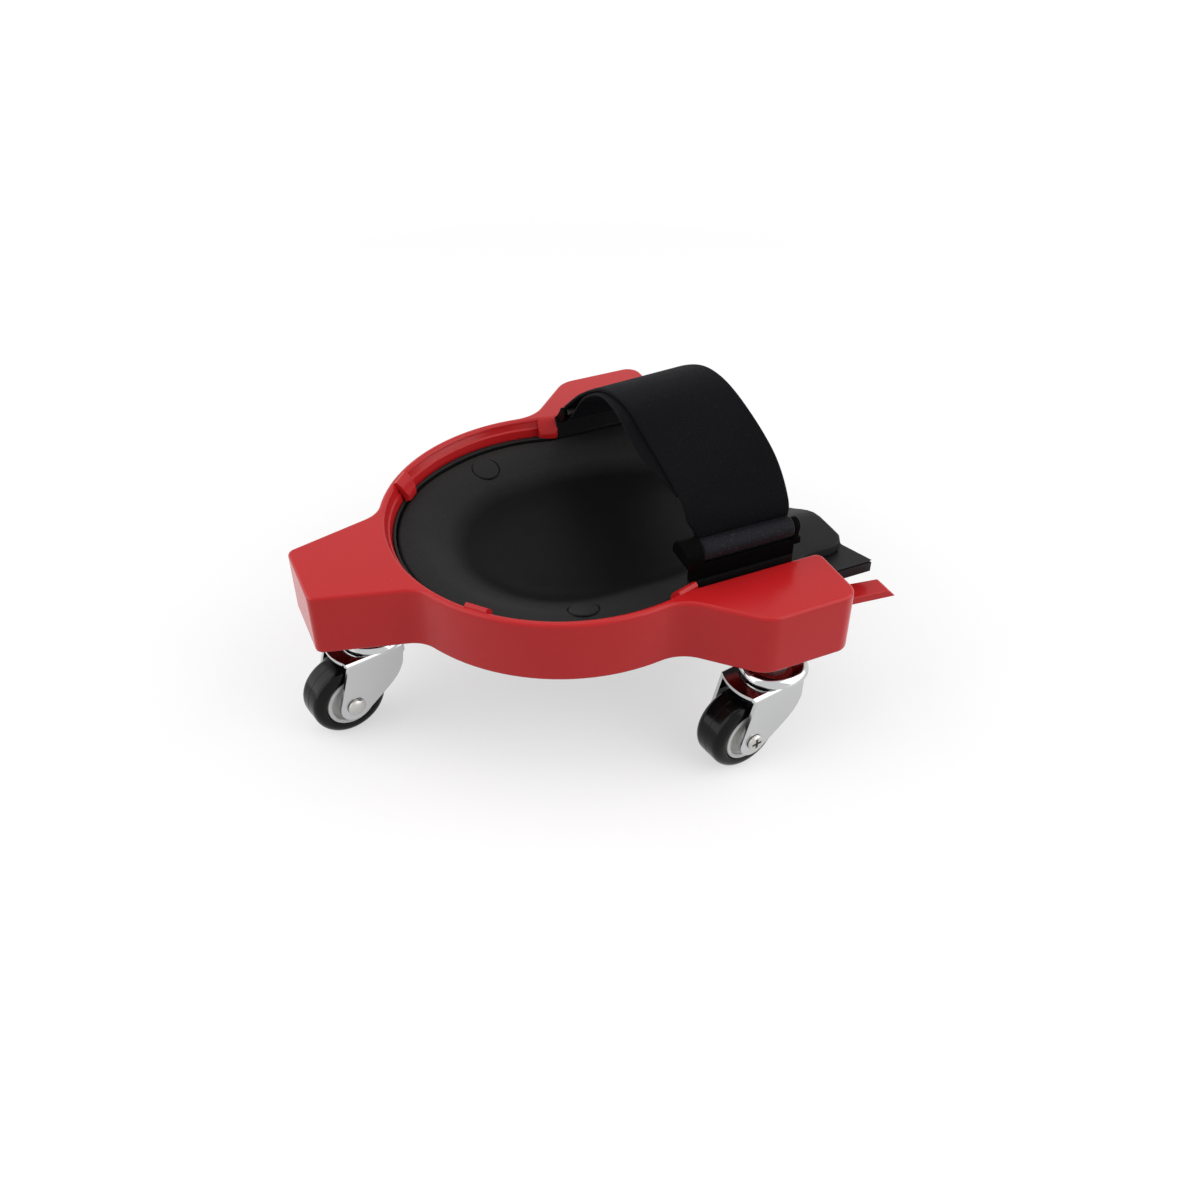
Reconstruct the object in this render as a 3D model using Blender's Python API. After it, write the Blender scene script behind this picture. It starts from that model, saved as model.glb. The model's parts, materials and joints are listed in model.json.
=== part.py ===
"""Rolling knee creeper: a ring frame on three swivel casters, with a knee pad and a leg strap.

+X is the front, where the single caster is. +Y is the left side and +Z is up, with the
floor at z = 0. Lengths are metres and angles are degrees.
"""
import math

import bmesh
import bpy
from mathutils import Matrix, Vector

# Clearances
SEAT_GAP = 0.0003          # between pieces that rest on each other
RUN_GAP = 0.0004           # between pieces that turn on each other
PAD_GAP = 0.0005           # round the soft pad and its tray
STRAP_GAP = 0.0005         # strap to the lugs, along the bar
MERGE = 0.000008           # corners closer than this become one

# Wheels
WHEEL_R = 0.019
TYRE_WIDTH = 0.018
TYRE_THICK = 0.0062
TYRE_ROUND = 0.0035
TYRE_BEAD = 0.0010         # chamfer beside the hub
HUB_RIM = 0.0020
HUB_RECESS = 0.0022
HUB_BOSS_WALL = 0.0029
SCREW_R = 0.0016
SCREW_REACH = 0.012        # how far the screw goes into the sleeve
SLEEVE_WALL = 0.0010
AXLE_HEAD_R = 0.0044
AXLE_HEAD = 0.0018
CROSS_ARM = 0.0023         # the screw's cross recess, from its middle to an end
CROSS_WIDTH = 0.0012
CROSS_DEPTH = 0.0012

# Forks and swivels
TRAIL = 0.0195             # from the swivel's axis to the axle
FORK_SHEET = 0.0018
FORK_SIDE_GAP = 0.0022     # between the tyre's side and a leg
FORK_TOP_GAP = 0.0062      # between the tyre's top and the crown
FORK_BEND_R = 0.0045
FORK_END_R = 0.008
FORK_HEEL_DROP = 0.0142    # the back of the crown's skirt
FORK_BACK = ((-0.0048, 0.0088), (0.0048, 0.0020))  # a leg's back edge: ahead of the swivel, above the axle
FORK_FRONT_DROP = 0.008    # crown's lip to where the legs run out
FORK_LIP_ANGLE = 33.0
FORK_REAR_ANGLE = 115.0
CROWN_REAR_R = 0.0165
CROWN_LIP = 0.0243
BALL_R = 0.0017
BALL_INSET = 0.0042        # ball circle, in from the cup's wall
BALL_COUNT = 12
CAGE_NECK = 0.6            # cage's section between two balls, as a share of a ball
CUP_R = 0.0165
CUP_WALL = 0.0018
CUP_HEIGHT = 0.0048
CUP_CROWN_R = 0.009        # the flat in the middle of the cup's top
STEM_R = 0.004
STEM_TIP = 0.001
STEM_HEAD_R = 0.0065
STEM_HEAD = 0.0024
STEM_LENGTH = 0.024        # above the frame's underside
NUT_FLATS = 0.013
STEM_NUT_HEIGHT = 0.0076
CAPTIVE_NUT_HEIGHT = 0.0065
CAPTIVE_NUT_LIFT = 0.010   # above the frame's underside
REST_ANGLES = {"front": 12.0, "left": 10.0, "right": -10.0}

# Frame
FRAME_HEIGHT = 0.032
RING_OUTER_R = 0.090
RIM_WIDTH = 0.004
RIM_ROUND = 0.0016
CHANNEL_INSET = 0.0035     # shin channel's side, in from the ring's inner circle
WALL = 0.0032
ROOF = 0.0035
RIB = 0.002
BOSS_WALL = 0.0031
FRONT_POD_REACH = 0.041    # beyond the ring
FRONT_END_HALF = 0.020
FRONT_FLANK_ANGLE = 15.0
FRONT_CORNER_R = 0.004
FRONT_BLEND_R = 0.015
FRONT_SWIVEL_SETBACK = 0.0303
REAR_POD_REACH = 0.0045
POD_OUTREACH = 0.027
POD_LENGTH = 0.046         # side of a rear pod, up to its shoulder
SHOULDER_ANGLE = 45.0
SHOULDER_R = 0.015
REAR_BLEND_R = 0.020
REAR_CORNER_R = 0.008
INNER_CORNER_R = 0.004
REAR_SWIVEL_SETBACK = 0.031
REAR_SWIVEL_INSET = 0.0165
POD_TOE = 0.0096           # rear pod's hollow, ahead of its shoulder
FUNNEL_TOP = 0.005         # below the rim, where the inner wall starts to slope in
FUNNEL_RUN = 0.004
FUNNEL_DROP = 0.0045
LEDGE_RUN = 0.004
LEDGE_THICK = 0.003
COLLAR_ROOT = 0.002        # how far the collar is rooted in the ring's wall
ARM_REACH = 0.0405         # behind the rear pods
ARM_ROOT = 0.006           # into a rear pod
ARM_OUT = 0.003            # outwards from the channel's side
ARM_IN = 0.0085            # inwards from it
ARM_THICK = 0.0062
ARM_CHAMFER = 0.005

# Pad clips on the rim
CLIP_ANGLES = (41.0, 107.2, -41.0, -107.2)
CLIP_WIDTH = 0.0115
CLIP_RISE = 0.0022
CLIP_REACH = 0.0095        # inwards from the rim's inner edge
CLIP_CREST = 0.0038        # the same, to where the hook starts down
CLIP_ROOT = 0.0022         # outwards into the rim
CLIP_THICK = 0.0026

# Knee pad and its tray
PAD_THICK = 0.006
PAD_EDGE_ROUND = 0.002
PAD_CENTRE_X = -0.020      # the pad's loops shrink towards this point
BOWL_DEPTH = 0.0145
BOWL_MARGIN = 0.013        # rim's inner edge to the bowl
BOWL_SLOPE = 0.039
GROOVE_HALF = 0.047        # half width of the shin groove at the tail
GROOVE_START_X = -0.030    # the bowl starts to narrow into the groove
NECK_FORE = 0.0105         # the pad narrows from here, ahead of the same faces
NECK_AFT = 0.0035
PAD_TAIL_REACH = 0.025
PAD_TAIL_INSET = 0.0125    # in from the channel's side
PAD_TAIL_CORNER_R = 0.021
TRAY_THICK = 0.0025
LIP_WIDTH = 0.0014
LIP_END = 0.0015           # the lip has died out here, ahead of the pods' rear faces
TRAY_TAIL_REACH = 0.0225
TRAY_WING_REACH = 0.0325
TRAY_WING_INSET = 0.0015
TRAY_WING_WIDTH = 0.019
TRAY_EDGE = 0.0064         # depth of the wings' edge
TRAY_EDGE_WIDTH = 0.0055
BUTTON_ANGLE = 75.0
BUTTON_SETBACK = 0.0196    # in from the rim's inner edge
BUTTON_R = 0.007
BUTTON_HEAD = 0.0016
BUTTON_FACE_R = 0.0056
BUTTON_SINK = 0.0008
BUTTON_SHANK_R = 0.0025
BUTTON_TIP = 0.0025        # past the tray's underside

# Strap ears on the tray, cross bars and strap
BAR_INSET = 0.0055         # in from the channel's side
BAR_RISE = 0.0155          # above the rim
BAR_R = 0.0024
EAR_SETBACK = 0.0225       # the ear's front end, behind the ring's centre
EAR_LENGTH = 0.063
EAR_WEB_SETBACKS = (0.011, 0.0035)  # the web, in from the ear's front and rear ends
EAR_WEB_TOP = 0.009        # above the rim
EAR_FOOT = 0.0014
EAR_THICK = 0.0026
EAR_HINGE = 0.001          # above the rim, where the web bends
EAR_LEANS = {1: 0.0, -1: 48.0}  # the left ear stands up, the strap pulls the right one in over the pad
CRADLE_DEPTH = 0.0035
CRADLE_HALF = 0.0043
LUG_R = 0.0048
LUG_FRONT_THICK = 0.007
LUG_FRONT_SKIN = 0.0016    # closes the bar's bore at the front
LUG_REAR_THICK = 0.0048
STRAP_THICK = 0.0022
STRAP_ROLL = 0.0016        # strap's thickness round the bar, pulled tight
STRAP_LAP = 0.0020         # extra thickness of the turned-back ends
STRAP_LAP_SHARE = 0.3      # share of the arch that each turned-back end covers
STRAP_LAP_FADE = 0.04
STRAP_STEPS = 5            # between two knots of an edge
# The strap's front and rear edges: share of the upright bar's distance, height above the rim
STRAP_FRONT_KNOTS = ((0.88, 0.0305), (0.70, 0.038), (0.38, 0.0455), (0.08, 0.0515), (-0.26, 0.047),
                     (-0.58, 0.026))
STRAP_REAR_KNOTS = ((0.95, 0.0275), (0.76, 0.043), (0.39, 0.0535), (0.06, 0.0565), (-0.24, 0.0505),
                    (-0.58, 0.028))

# Facets
ARC_STEP = 8.0             # degrees of turn for each chord of a large outline's arc
BEND_STEP = 18.0           # the same for small bends and corners
PAD_STEP = 10.0            # between the pad's rays
PAD_SHARES = (0.25, 0.45, 0.61, 0.76, 0.89)
NECK_STEPS = 4
WHEEL_SEGMENTS = 24
CUP_SEGMENTS = 20
PIN_SEGMENTS = 12
CAGE_SIDES = 6

# Levels from the floor up
CROWN_TOP = WHEEL_R * 2 + FORK_TOP_GAP + FORK_SHEET
CUP_ROOF = CROWN_TOP + SEAT_GAP * 2 + BALL_R * 2
CUP_TOP = CUP_ROOF + CUP_WALL
RIDE_HEIGHT = CUP_TOP + SEAT_GAP * 2 + STEM_NUT_HEIGHT
FRAME_TOP = RIDE_HEIGHT + FRAME_HEIGHT
RIM_DROP = FUNNEL_TOP + FUNNEL_DROP
PAD_TO_LEDGE = PAD_THICK + PAD_GAP + TRAY_THICK
LEDGE_DROP = RIM_DROP + PAD_TO_LEDGE + SEAT_GAP
BAR_Z = FRAME_TOP + BAR_RISE

# Places in the plan that follow from the sizes above
RIM_INNER_R = RING_OUTER_R - RIM_WIDTH
CHANNEL_HALF = RIM_INNER_R - CHANNEL_INSET
FRONT_END_X = RING_OUTER_R + FRONT_POD_REACH
FRONT_SWIVEL_X = FRONT_END_X - FRONT_SWIVEL_SETBACK
REAR_X = -RING_OUTER_R - REAR_POD_REACH
POD_SIDE_Y = RING_OUTER_R + POD_OUTREACH
SHOULDER_X = REAR_X + POD_LENGTH
REAR_SWIVEL = (REAR_X + REAR_SWIVEL_SETBACK, POD_SIDE_Y - REAR_SWIVEL_INSET)
ARM_END_X = REAR_X - ARM_REACH
PAD_TAIL_X = REAR_X - PAD_TAIL_REACH
PAD_TAIL_HALF = CHANNEL_HALF - PAD_TAIL_INSET
TRAY_TAIL_X = REAR_X - TRAY_TAIL_REACH
TRAY_WING_X = REAR_X - TRAY_WING_REACH
TRAY_WING_HALF = CHANNEL_HALF - TRAY_WING_INSET
TRAY_WING_START = TRAY_WING_HALF - TRAY_WING_WIDTH
BOWL_TOP_R = RIM_INNER_R - BOWL_MARGIN
BUTTON_OUT = RIM_INNER_R - BUTTON_SETBACK
BAR_Y = CHANNEL_HALF - BAR_INSET
EAR_FRONT_X = -EAR_SETBACK
EAR_REAR_X = EAR_FRONT_X - EAR_LENGTH
STRAP_FRONT_X = EAR_FRONT_X - LUG_FRONT_THICK - STRAP_GAP
STRAP_REAR_X = EAR_REAR_X + LUG_REAR_THICK + STRAP_GAP
BAR_FRONT_X = EAR_FRONT_X - LUG_FRONT_SKIN
EAR_FOOT_Y = CHANNEL_HALF - FUNNEL_RUN - PAD_GAP - SEAT_GAP
EAR_INNER_Y = EAR_FOOT_Y - EAR_FOOT

# Sections and bores that follow from the sizes above
HUB_R = WHEEL_R - TYRE_THICK
SLEEVE_BORE_R = SCREW_R + SEAT_GAP
SLEEVE_R = SLEEVE_BORE_R + SLEEVE_WALL
HUB_BORE_R = SLEEVE_R + RUN_GAP
HUB_BOSS_R = HUB_BORE_R + HUB_BOSS_WALL
FORK_INSIDE = TYRE_WIDTH / 2 + FORK_SIDE_GAP
FORK_HALF = FORK_INSIDE + FORK_SHEET
BALL_CIRCLE_R = CUP_R - CUP_WALL - BALL_INSET
STEM_BORE_R = STEM_R + SEAT_GAP
BOSS_R = (NUT_FLATS / 2 + SEAT_GAP) / math.cos(math.radians(30)) + BOSS_WALL
BAR_BORE_R = BAR_R + SEAT_GAP
ROLL_R = BAR_BORE_R + STRAP_ROLL
SHANK_BORE_R = BUTTON_SHANK_R + SEAT_GAP

# Turns a prism drawn in (y, z) so that it runs along X
ALONG_X = Matrix(((0, 0, 1, 0), (1, 0, 0, 0), (0, 1, 0, 0), (0, 0, 0, 1)))
# Turns a prism drawn in (x, z) so that it runs along Y
ALONG_Y = Matrix.Rotation(math.radians(90), 4, "X")


def front_reach():
    """How far forward the front tyre reaches at rest."""
    angle = math.radians(REST_ANGLES["front"])
    along = (WHEEL_R - TYRE_ROUND) * math.cos(angle)
    across = (TYRE_WIDTH / 2 - TYRE_ROUND) * math.sin(angle)
    return FRONT_SWIVEL_X + TRAIL * math.cos(angle) + along + across + TYRE_ROUND


# The ring's centre stands here, which puts the origin under the middle of the whole creeper
RING_X = -(front_reach() + ARM_END_X) / 2


def clear_scene():
    for old in list(bpy.data.objects):
        bpy.data.objects.remove(old, do_unlink=True)


def make_material(name, colour, roughness, metallic=0.0):
    material = bpy.data.materials.new(name)
    material.use_nodes = True
    shader = material.node_tree.nodes["Principled BSDF"]
    shader.inputs["Base Color"].default_value = (*colour, 1.0)
    shader.inputs["Roughness"].default_value = roughness
    shader.inputs["Metallic"].default_value = metallic
    return material


def make_empty(name, location, rotation=(0.0, 0.0, 0.0), parent=None):
    empty = bpy.data.objects.new(name, None)
    empty.location = location
    empty.rotation_euler = rotation
    empty.parent = parent
    bpy.context.collection.objects.link(empty)
    return empty


def to_mesh(name, bm):
    mesh = bpy.data.meshes.new(name)
    bm.to_mesh(mesh)
    bm.free()
    return mesh


def add_part(name, mesh, material, parent):
    """One sub-part: its own object, shaded smooth with its creases kept."""
    mesh.materials.clear()
    mesh.materials.append(material)
    mesh.shade_smooth()
    mesh.set_sharp_from_angle(angle=math.radians(35))
    part = bpy.data.objects.new(name, mesh)
    part.parent = parent
    bpy.context.collection.objects.link(part)
    return part


def boolean(base, tool, operation):
    """Combine two closed bmeshes with Blender's Boolean, use both up and return the result."""
    helpers = []
    for bm in (base, tool):
        helper = bpy.data.objects.new("helper", to_mesh("helper", bm))
        bpy.context.collection.objects.link(helper)
        helpers.append(helper)
    modifier = helpers[0].modifiers.new("boolean", "BOOLEAN")
    modifier.object = helpers[1]
    modifier.operation = operation
    modifier.solver = "EXACT"
    depsgraph = bpy.context.evaluated_depsgraph_get()
    mesh = bpy.data.meshes.new_from_object(helpers[0].evaluated_get(depsgraph))
    result = bmesh.new()
    result.from_mesh(mesh)
    bmesh.ops.remove_doubles(result, verts=result.verts, dist=MERGE)
    bmesh.ops.dissolve_degenerate(result, edges=result.edges, dist=MERGE)
    bpy.data.meshes.remove(mesh)
    for helper in helpers:
        leftover = helper.data
        bpy.data.objects.remove(helper, do_unlink=True)
        bpy.data.meshes.remove(leftover)
    return result


def join(base, *tools):
    for tool in tools:
        base = boolean(base, tool, "UNION")
    return base


def cut(base, *tools):
    for tool in tools:
        base = boolean(base, tool, "DIFFERENCE")
    return base


def common(base, *tools):
    for tool in tools:
        base = boolean(base, tool, "INTERSECT")
    return base


def prism(outline, low, high):
    """Extrude a flat outline of (x, y) points from z = low to z = high."""
    bm = bmesh.new()
    face = bm.faces.new([bm.verts.new((x, y, low)) for x, y in outline])
    side = bmesh.ops.extrude_face_region(bm, geom=[face])["geom"]
    top = [item for item in side if isinstance(item, bmesh.types.BMVert)]
    bmesh.ops.translate(bm, verts=top, vec=(0, 0, high - low))
    bmesh.ops.recalc_face_normals(bm, faces=bm.faces)
    return bm


def box(low, high):
    outline = [(low[0], low[1]), (high[0], low[1]), (high[0], high[1]), (low[0], high[1])]
    return prism(outline, low[2], high[2])


def moved(bm, matrix):
    bmesh.ops.transform(bm, matrix=matrix, verts=bm.verts)
    return bm


def lathe(profile, segments):
    """Turn a closed (radius, z) profile once about Z."""
    bm = bmesh.new()
    verts = [bm.verts.new((radius, 0, z)) for radius, z in profile]
    edges = [bm.edges.new((verts[i - 1], verts[i])) for i in range(len(verts))
             if profile[i - 1][0] > 0 or profile[i][0] > 0]
    bmesh.ops.spin(bm, geom=verts + edges, axis=(0, 0, 1), cent=(0, 0, 0), angle=math.tau,
                   steps=segments, use_merge=True)
    bmesh.ops.remove_doubles(bm, verts=bm.verts, dist=1e-6)
    bmesh.ops.recalc_face_normals(bm, faces=bm.faces)
    return bm


def rod(radius, low, high, segments):
    return lathe([(0, low), (radius, low), (radius, high), (0, high)], segments)


def skin(loops, tips=(None, None)):
    """Cover a stack of equal closed loops, each cell split on its shorter diagonal.

    Each end is closed with a fan to its tip, or with a flat face where it has none.
    """
    bm = bmesh.new()
    rings = [[bm.verts.new(point) for point in loop] for loop in loops]
    for lower, upper in zip(rings, rings[1:]):
        for i in range(len(lower)):
            a, b, c, d = lower[i - 1], lower[i], upper[i], upper[i - 1]
            if (a.co - c.co).length < (b.co - d.co).length:
                triangles = ((a, b, c), (a, c, d))
            else:
                triangles = ((a, b, d), (b, c, d))
            for triangle in triangles:
                bm.faces.new(triangle)
    for ring, tip in zip((rings[0], rings[-1]), tips):
        if tip is None:
            bm.faces.new(ring)
            continue
        centre = bm.verts.new(tip)
        for i in range(len(ring)):
            bm.faces.new((ring[i - 1], ring[i], centre))
    bmesh.ops.recalc_face_normals(bm, faces=bm.faces)
    return bm


def smooth_step(value):
    value = min(max(value, 0.0), 1.0)
    return value * value * (3.0 - 2.0 * value)


def arc(centre, radius, start, end, step=ARC_STEP):
    """Points on an arc between two angles in radians, both ends included."""
    steps = max(2, round(abs(end - start) / math.radians(step)))
    angles = [start + (end - start) * i / steps for i in range(steps + 1)]
    return [(centre[0] + radius * math.cos(a), centre[1] + radius * math.sin(a)) for a in angles]


def short_arc(centre, start, end):
    """The arc about a centre from one point to another, the short way round."""
    first = start - centre
    last = end - centre
    angle = math.atan2(first.y, first.x)
    turn = math.atan2(first.x * last.y - first.y * last.x, first.dot(last))
    return arc(centre, first.length, angle, angle + turn, BEND_STEP)


def fillet(before, corner, after, radius):
    """Round the corner between two straight runs."""
    corner = Vector(corner)
    inward = (Vector(before) - corner).normalized()
    outward = (Vector(after) - corner).normalized()
    half = inward.angle(outward) / 2
    reach = radius / math.tan(half)
    centre = corner + (inward + outward).normalized() * (radius / math.sin(half))
    return short_arc(centre, corner + inward * reach, corner + outward * reach)


def ring_blend(corner, angle, radius):
    """Arc that eases a pod's flank, drawn from its corner at an angle, into the ring."""
    sign = math.copysign(1.0, -corner.x)
    along = Vector((sign * math.cos(angle), math.sin(angle) * -sign))
    normal = Vector((math.sin(angle), math.cos(angle)))
    start = corner + normal * radius
    span = start.dot(along)
    run = -span - math.sqrt(span**2 - start.length_squared + (RING_OUTER_R + radius) ** 2)
    centre = start + along * run
    return short_arc(centre, corner + along * run, centre * (RING_OUTER_R / centre.length))


def outer_half():
    """The frame's outer outline on the left side, from the front to the rear inner corner."""
    front = Vector((FRONT_END_X, FRONT_END_HALF))
    flank = math.radians(FRONT_FLANK_ANGLE)
    flank_run = front + Vector((-math.cos(flank), math.sin(flank)))
    shoulder = Vector((SHOULDER_X, POD_SIDE_Y))
    slope = math.radians(SHOULDER_ANGLE)
    slope_run = shoulder + Vector((math.cos(slope), -math.sin(slope)))
    points = fillet((FRONT_END_X, 0), front, flank_run, FRONT_CORNER_R)
    front_blend = ring_blend(front, flank, FRONT_BLEND_R)
    rear_blend = ring_blend(shoulder, slope, REAR_BLEND_R)[::-1]
    points += front_blend
    start = math.atan2(front_blend[-1][1], front_blend[-1][0])
    end = math.atan2(rear_blend[0][1], rear_blend[0][0])
    points += arc((0, 0), RING_OUTER_R, start, end)[1:-1]
    points += rear_blend
    rear_outer = (REAR_X, POD_SIDE_Y)
    rear_inner = (REAR_X, CHANNEL_HALF)
    points += fillet(slope_run, shoulder, rear_outer, SHOULDER_R)
    points += fillet(shoulder, rear_outer, rear_inner, REAR_CORNER_R)
    points += fillet(rear_outer, rear_inner, (SHOULDER_X, CHANNEL_HALF), INNER_CORNER_R)
    return points


def mirror_y(points):
    return [(x, -y) for x, y in reversed(points)]


def inner_half(inset):
    """The opening's edge on the left side, from the front to where the channel starts."""
    radius = RIM_INNER_R - inset
    half = CHANNEL_HALF - inset
    return arc((0, 0), radius, 0, math.acos(-math.sqrt(radius**2 - half**2) / radius))


def inner_path(inset):
    """The opening's edge, from the left channel round the front to the right channel."""
    half = inner_half(inset)
    return half[:0:-1] + mirror_y(half[::-1])


def frame_body():
    """The C-shaped block of ring and pods, with its top edges rounded."""
    left = outer_half()
    outline = left + inner_path(0) + mirror_y(left)
    bm = prism(outline, RIDE_HEIGHT, FRAME_TOP)
    rim = [e for e in bm.edges if all(v.co.z > FRAME_TOP - 1e-5 for v in e.verts)]
    bmesh.ops.bevel(bm, geom=rim, offset=RIM_ROUND, segments=2, profile=0.5, affect="EDGES",
                    material=-1)
    return bm


def frame_collar():
    """The sloped inner wall and the ledge that carries the tray, swept round the opening."""
    drop = FUNNEL_TOP - COLLAR_ROOT * FUNNEL_DROP / FUNNEL_RUN
    ledge = FUNNEL_RUN + LEDGE_RUN
    ledge_foot = LEDGE_DROP + LEDGE_THICK
    section = [(-COLLAR_ROOT, drop), (FUNNEL_RUN, RIM_DROP), (FUNNEL_RUN, LEDGE_DROP),
               (ledge, LEDGE_DROP), (ledge, ledge_foot), (-COLLAR_ROOT, ledge_foot + LEDGE_RUN)]
    end_x = REAR_X + WALL / 2
    paths = []
    for inset, down in section:
        path = inner_path(inset)
        path = [(end_x, path[0][1])] + path + [(end_x, path[-1][1])]
        paths.append([(x, y, FRAME_TOP - down) for x, y in path])
    return skin(list(zip(*paths)))


def pod_hollows():
    """The spaces inside the pods, open at the bottom."""
    flank = math.radians(FRONT_FLANK_ANGLE)
    front_x = FRONT_END_X - WALL
    back_x = RING_OUTER_R
    wall = WALL / math.cos(flank)
    front_y = FRONT_END_HALF + (FRONT_END_X - front_x) * math.tan(flank) - wall
    back_y = FRONT_END_HALF + (FRONT_END_X - back_x) * math.tan(flank) - wall
    front = [(front_x, -front_y), (front_x, front_y), (back_x, back_y), (back_x, -back_y)]
    slope = math.radians(SHOULDER_ANGLE)
    side_y = POD_SIDE_Y - WALL
    inner_y = CHANNEL_HALF + RIM_WIDTH
    corner_x = SHOULDER_X - WALL * math.tan(slope / 2)
    toe_x = corner_x + POD_TOE
    toe_y = side_y - POD_TOE * math.tan(slope)
    rear_x = REAR_X + WALL
    left = [(rear_x, inner_y), (toe_x, inner_y), (toe_x, toe_y), (corner_x, side_y),
            (rear_x + REAR_CORNER_R / 2, side_y), (rear_x, side_y - REAR_CORNER_R / 2)]
    below = RIDE_HEIGHT - WALL
    return [prism(outline, below, FRAME_TOP - ROOF) for outline in (front, left, mirror_y(left))]


def swivels():
    rear_x, rear_y = REAR_SWIVEL
    return {"front": (FRONT_SWIVEL_X, 0.0), "left": (rear_x, rear_y), "right": (rear_x, -rear_y)}


def pod_ribs(centre, low, high):
    """A boss for the caster's stem and two crossed ribs that tie it to the pod's walls."""
    top = FRAME_TOP - ROOF / 2
    foot = RIDE_HEIGHT + RIB
    boss = moved(rod(BOSS_R, RIDE_HEIGHT, top, CUP_SEGMENTS), Matrix.Translation((*centre, 0)))
    along = box((low[0], centre[1] - RIB / 2, foot), (high[0], centre[1] + RIB / 2, top))
    across = box((centre[0] - RIB / 2, low[1], foot), (centre[0] + RIB / 2, high[1], top))
    return [boss, along, across]


def caster_seats():
    """Bosses and ribs in the three pods."""
    half = WALL / 2
    places = swivels()
    flank = math.tan(math.radians(FRONT_FLANK_ANGLE))
    front_y = FRONT_END_HALF + (FRONT_END_X - FRONT_SWIVEL_X) * flank - half
    parts = pod_ribs(places["front"], (RING_OUTER_R - half, -front_y), (FRONT_END_X - half, front_y))
    low = (REAR_X + half, CHANNEL_HALF + half)
    high = (SHOULDER_X + half * 4, POD_SIDE_Y - half)
    parts += pod_ribs(places["left"], low, high)
    parts += pod_ribs(places["right"], (low[0], -high[1]), (high[0], -low[1]))
    return parts


def pad_clip(angle):
    """A hook that arches from the rim over the pad's edge."""
    top = FRAME_TOP + CLIP_RISE
    edge = RIM_INNER_R
    tip = edge - CLIP_REACH
    tip_z = FRAME_TOP - RIM_DROP + SEAT_GAP * 2
    crest = edge - CLIP_CREST
    section = [(edge + CLIP_ROOT, FRAME_TOP - CLIP_THICK), (edge + CLIP_ROOT, top - CLIP_THICK / 4),
               (edge, top), (crest, top - CLIP_THICK / 4), (tip + CLIP_THICK / 3, top - CLIP_THICK),
               (tip, tip_z + CLIP_THICK), (tip, tip_z), (tip + CLIP_THICK, tip_z),
               (crest, FRAME_TOP - CLIP_THICK)]
    hook = prism(section, -CLIP_WIDTH / 2, CLIP_WIDTH / 2)
    return moved(hook, Matrix.Rotation(math.radians(angle), 4, "Z") @ ALONG_Y)


def frame_arms():
    """The two arms behind the rear pods, under the tray's wings, with slanted ends."""
    low = RIDE_HEIGHT + SEAT_GAP
    high = low + ARM_THICK
    root_x = REAR_X + ARM_ROOT
    section = [(root_x, low), (root_x, high), (ARM_END_X + ARM_CHAMFER, high), (ARM_END_X, low)]
    inner = CHANNEL_HALF - ARM_IN
    outer = CHANNEL_HALF + ARM_OUT
    return [moved(prism(section, *span), ALONG_Y) for span in ((inner, outer), (-outer, -inner))]


def hex_prism(flats, low, high):
    corner = flats / 2 / math.cos(math.radians(30))
    return prism([(corner * math.cos(math.radians(60 * i)), corner * math.sin(math.radians(60 * i)))
                  for i in range(6)], low, high)


def stem_bores():
    """The stem's bore in each boss and the pocket that traps its nut."""
    tools = []
    nut = RIDE_HEIGHT + CAPTIVE_NUT_LIFT
    tip = RIDE_HEIGHT + STEM_LENGTH + SEAT_GAP * 3
    for centre in swivels().values():
        place = Matrix.Translation((*centre, 0))
        tools.append(moved(rod(STEM_BORE_R, RIDE_HEIGHT - WALL, tip, PIN_SEGMENTS), place))
        pocket = hex_prism(NUT_FLATS + SEAT_GAP * 2, nut - SEAT_GAP, nut + CAPTIVE_NUT_HEIGHT + SEAT_GAP)
        tools.append(moved(pocket, place))
    return tools


def build_frame(material, parent):
    bm = cut(frame_body(), *pod_hollows())
    bm = join(bm, frame_collar(), *frame_arms(), *caster_seats())
    bm = join(bm, *[pad_clip(angle) for angle in CLIP_ANGLES])
    bm = cut(bm, *stem_bores())
    add_part("frame", to_mesh("frame", bm), material, parent)


def pad_height(x, y):
    """Height of the pad's upper face: a round bowl that narrows into a groove along the tail."""
    reach = math.hypot(max(x, 0.0), y)
    run = smooth_step((GROOVE_START_X - x) / (GROOVE_START_X - PAD_TAIL_X))
    edge = BOWL_TOP_R + (GROOVE_HALF - BOWL_TOP_R) * run
    return FRAME_TOP - RIM_DROP - BOWL_DEPTH * smooth_step((edge - reach) / BOWL_SLOPE)


def pad_outline():
    """The soft pad's edge on the left side, from the front to the middle of the tail."""
    inset = FUNNEL_RUN + PAD_GAP * 3 + LIP_WIDTH
    half = CHANNEL_HALF - inset
    points = inner_half(inset)
    for i in range(NECK_STEPS + 1):
        share = i / NECK_STEPS
        points.append((REAR_X + NECK_FORE - (NECK_FORE + NECK_AFT) * share,
                       half + (PAD_TAIL_HALF - half) * smooth_step(share)))
    corner = (PAD_TAIL_X, PAD_TAIL_HALF)
    points += fillet(points[-1], corner, (PAD_TAIL_X, 0), PAD_TAIL_CORNER_R)
    points.append((PAD_TAIL_X, 0))
    return points


def tray_outline():
    """The tray's edge on the left side, from the front to the middle of the tail."""
    inset = FUNNEL_RUN + PAD_GAP
    half = CHANNEL_HALF - inset
    clear_x = REAR_X - PAD_GAP * 2
    points = inner_half(inset)
    points += [(clear_x, half), (clear_x - (TRAY_WING_HALF - half), TRAY_WING_HALF),
               (TRAY_WING_X, TRAY_WING_HALF), (TRAY_TAIL_X, TRAY_WING_START), (TRAY_TAIL_X, 0)]
    return points


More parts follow.
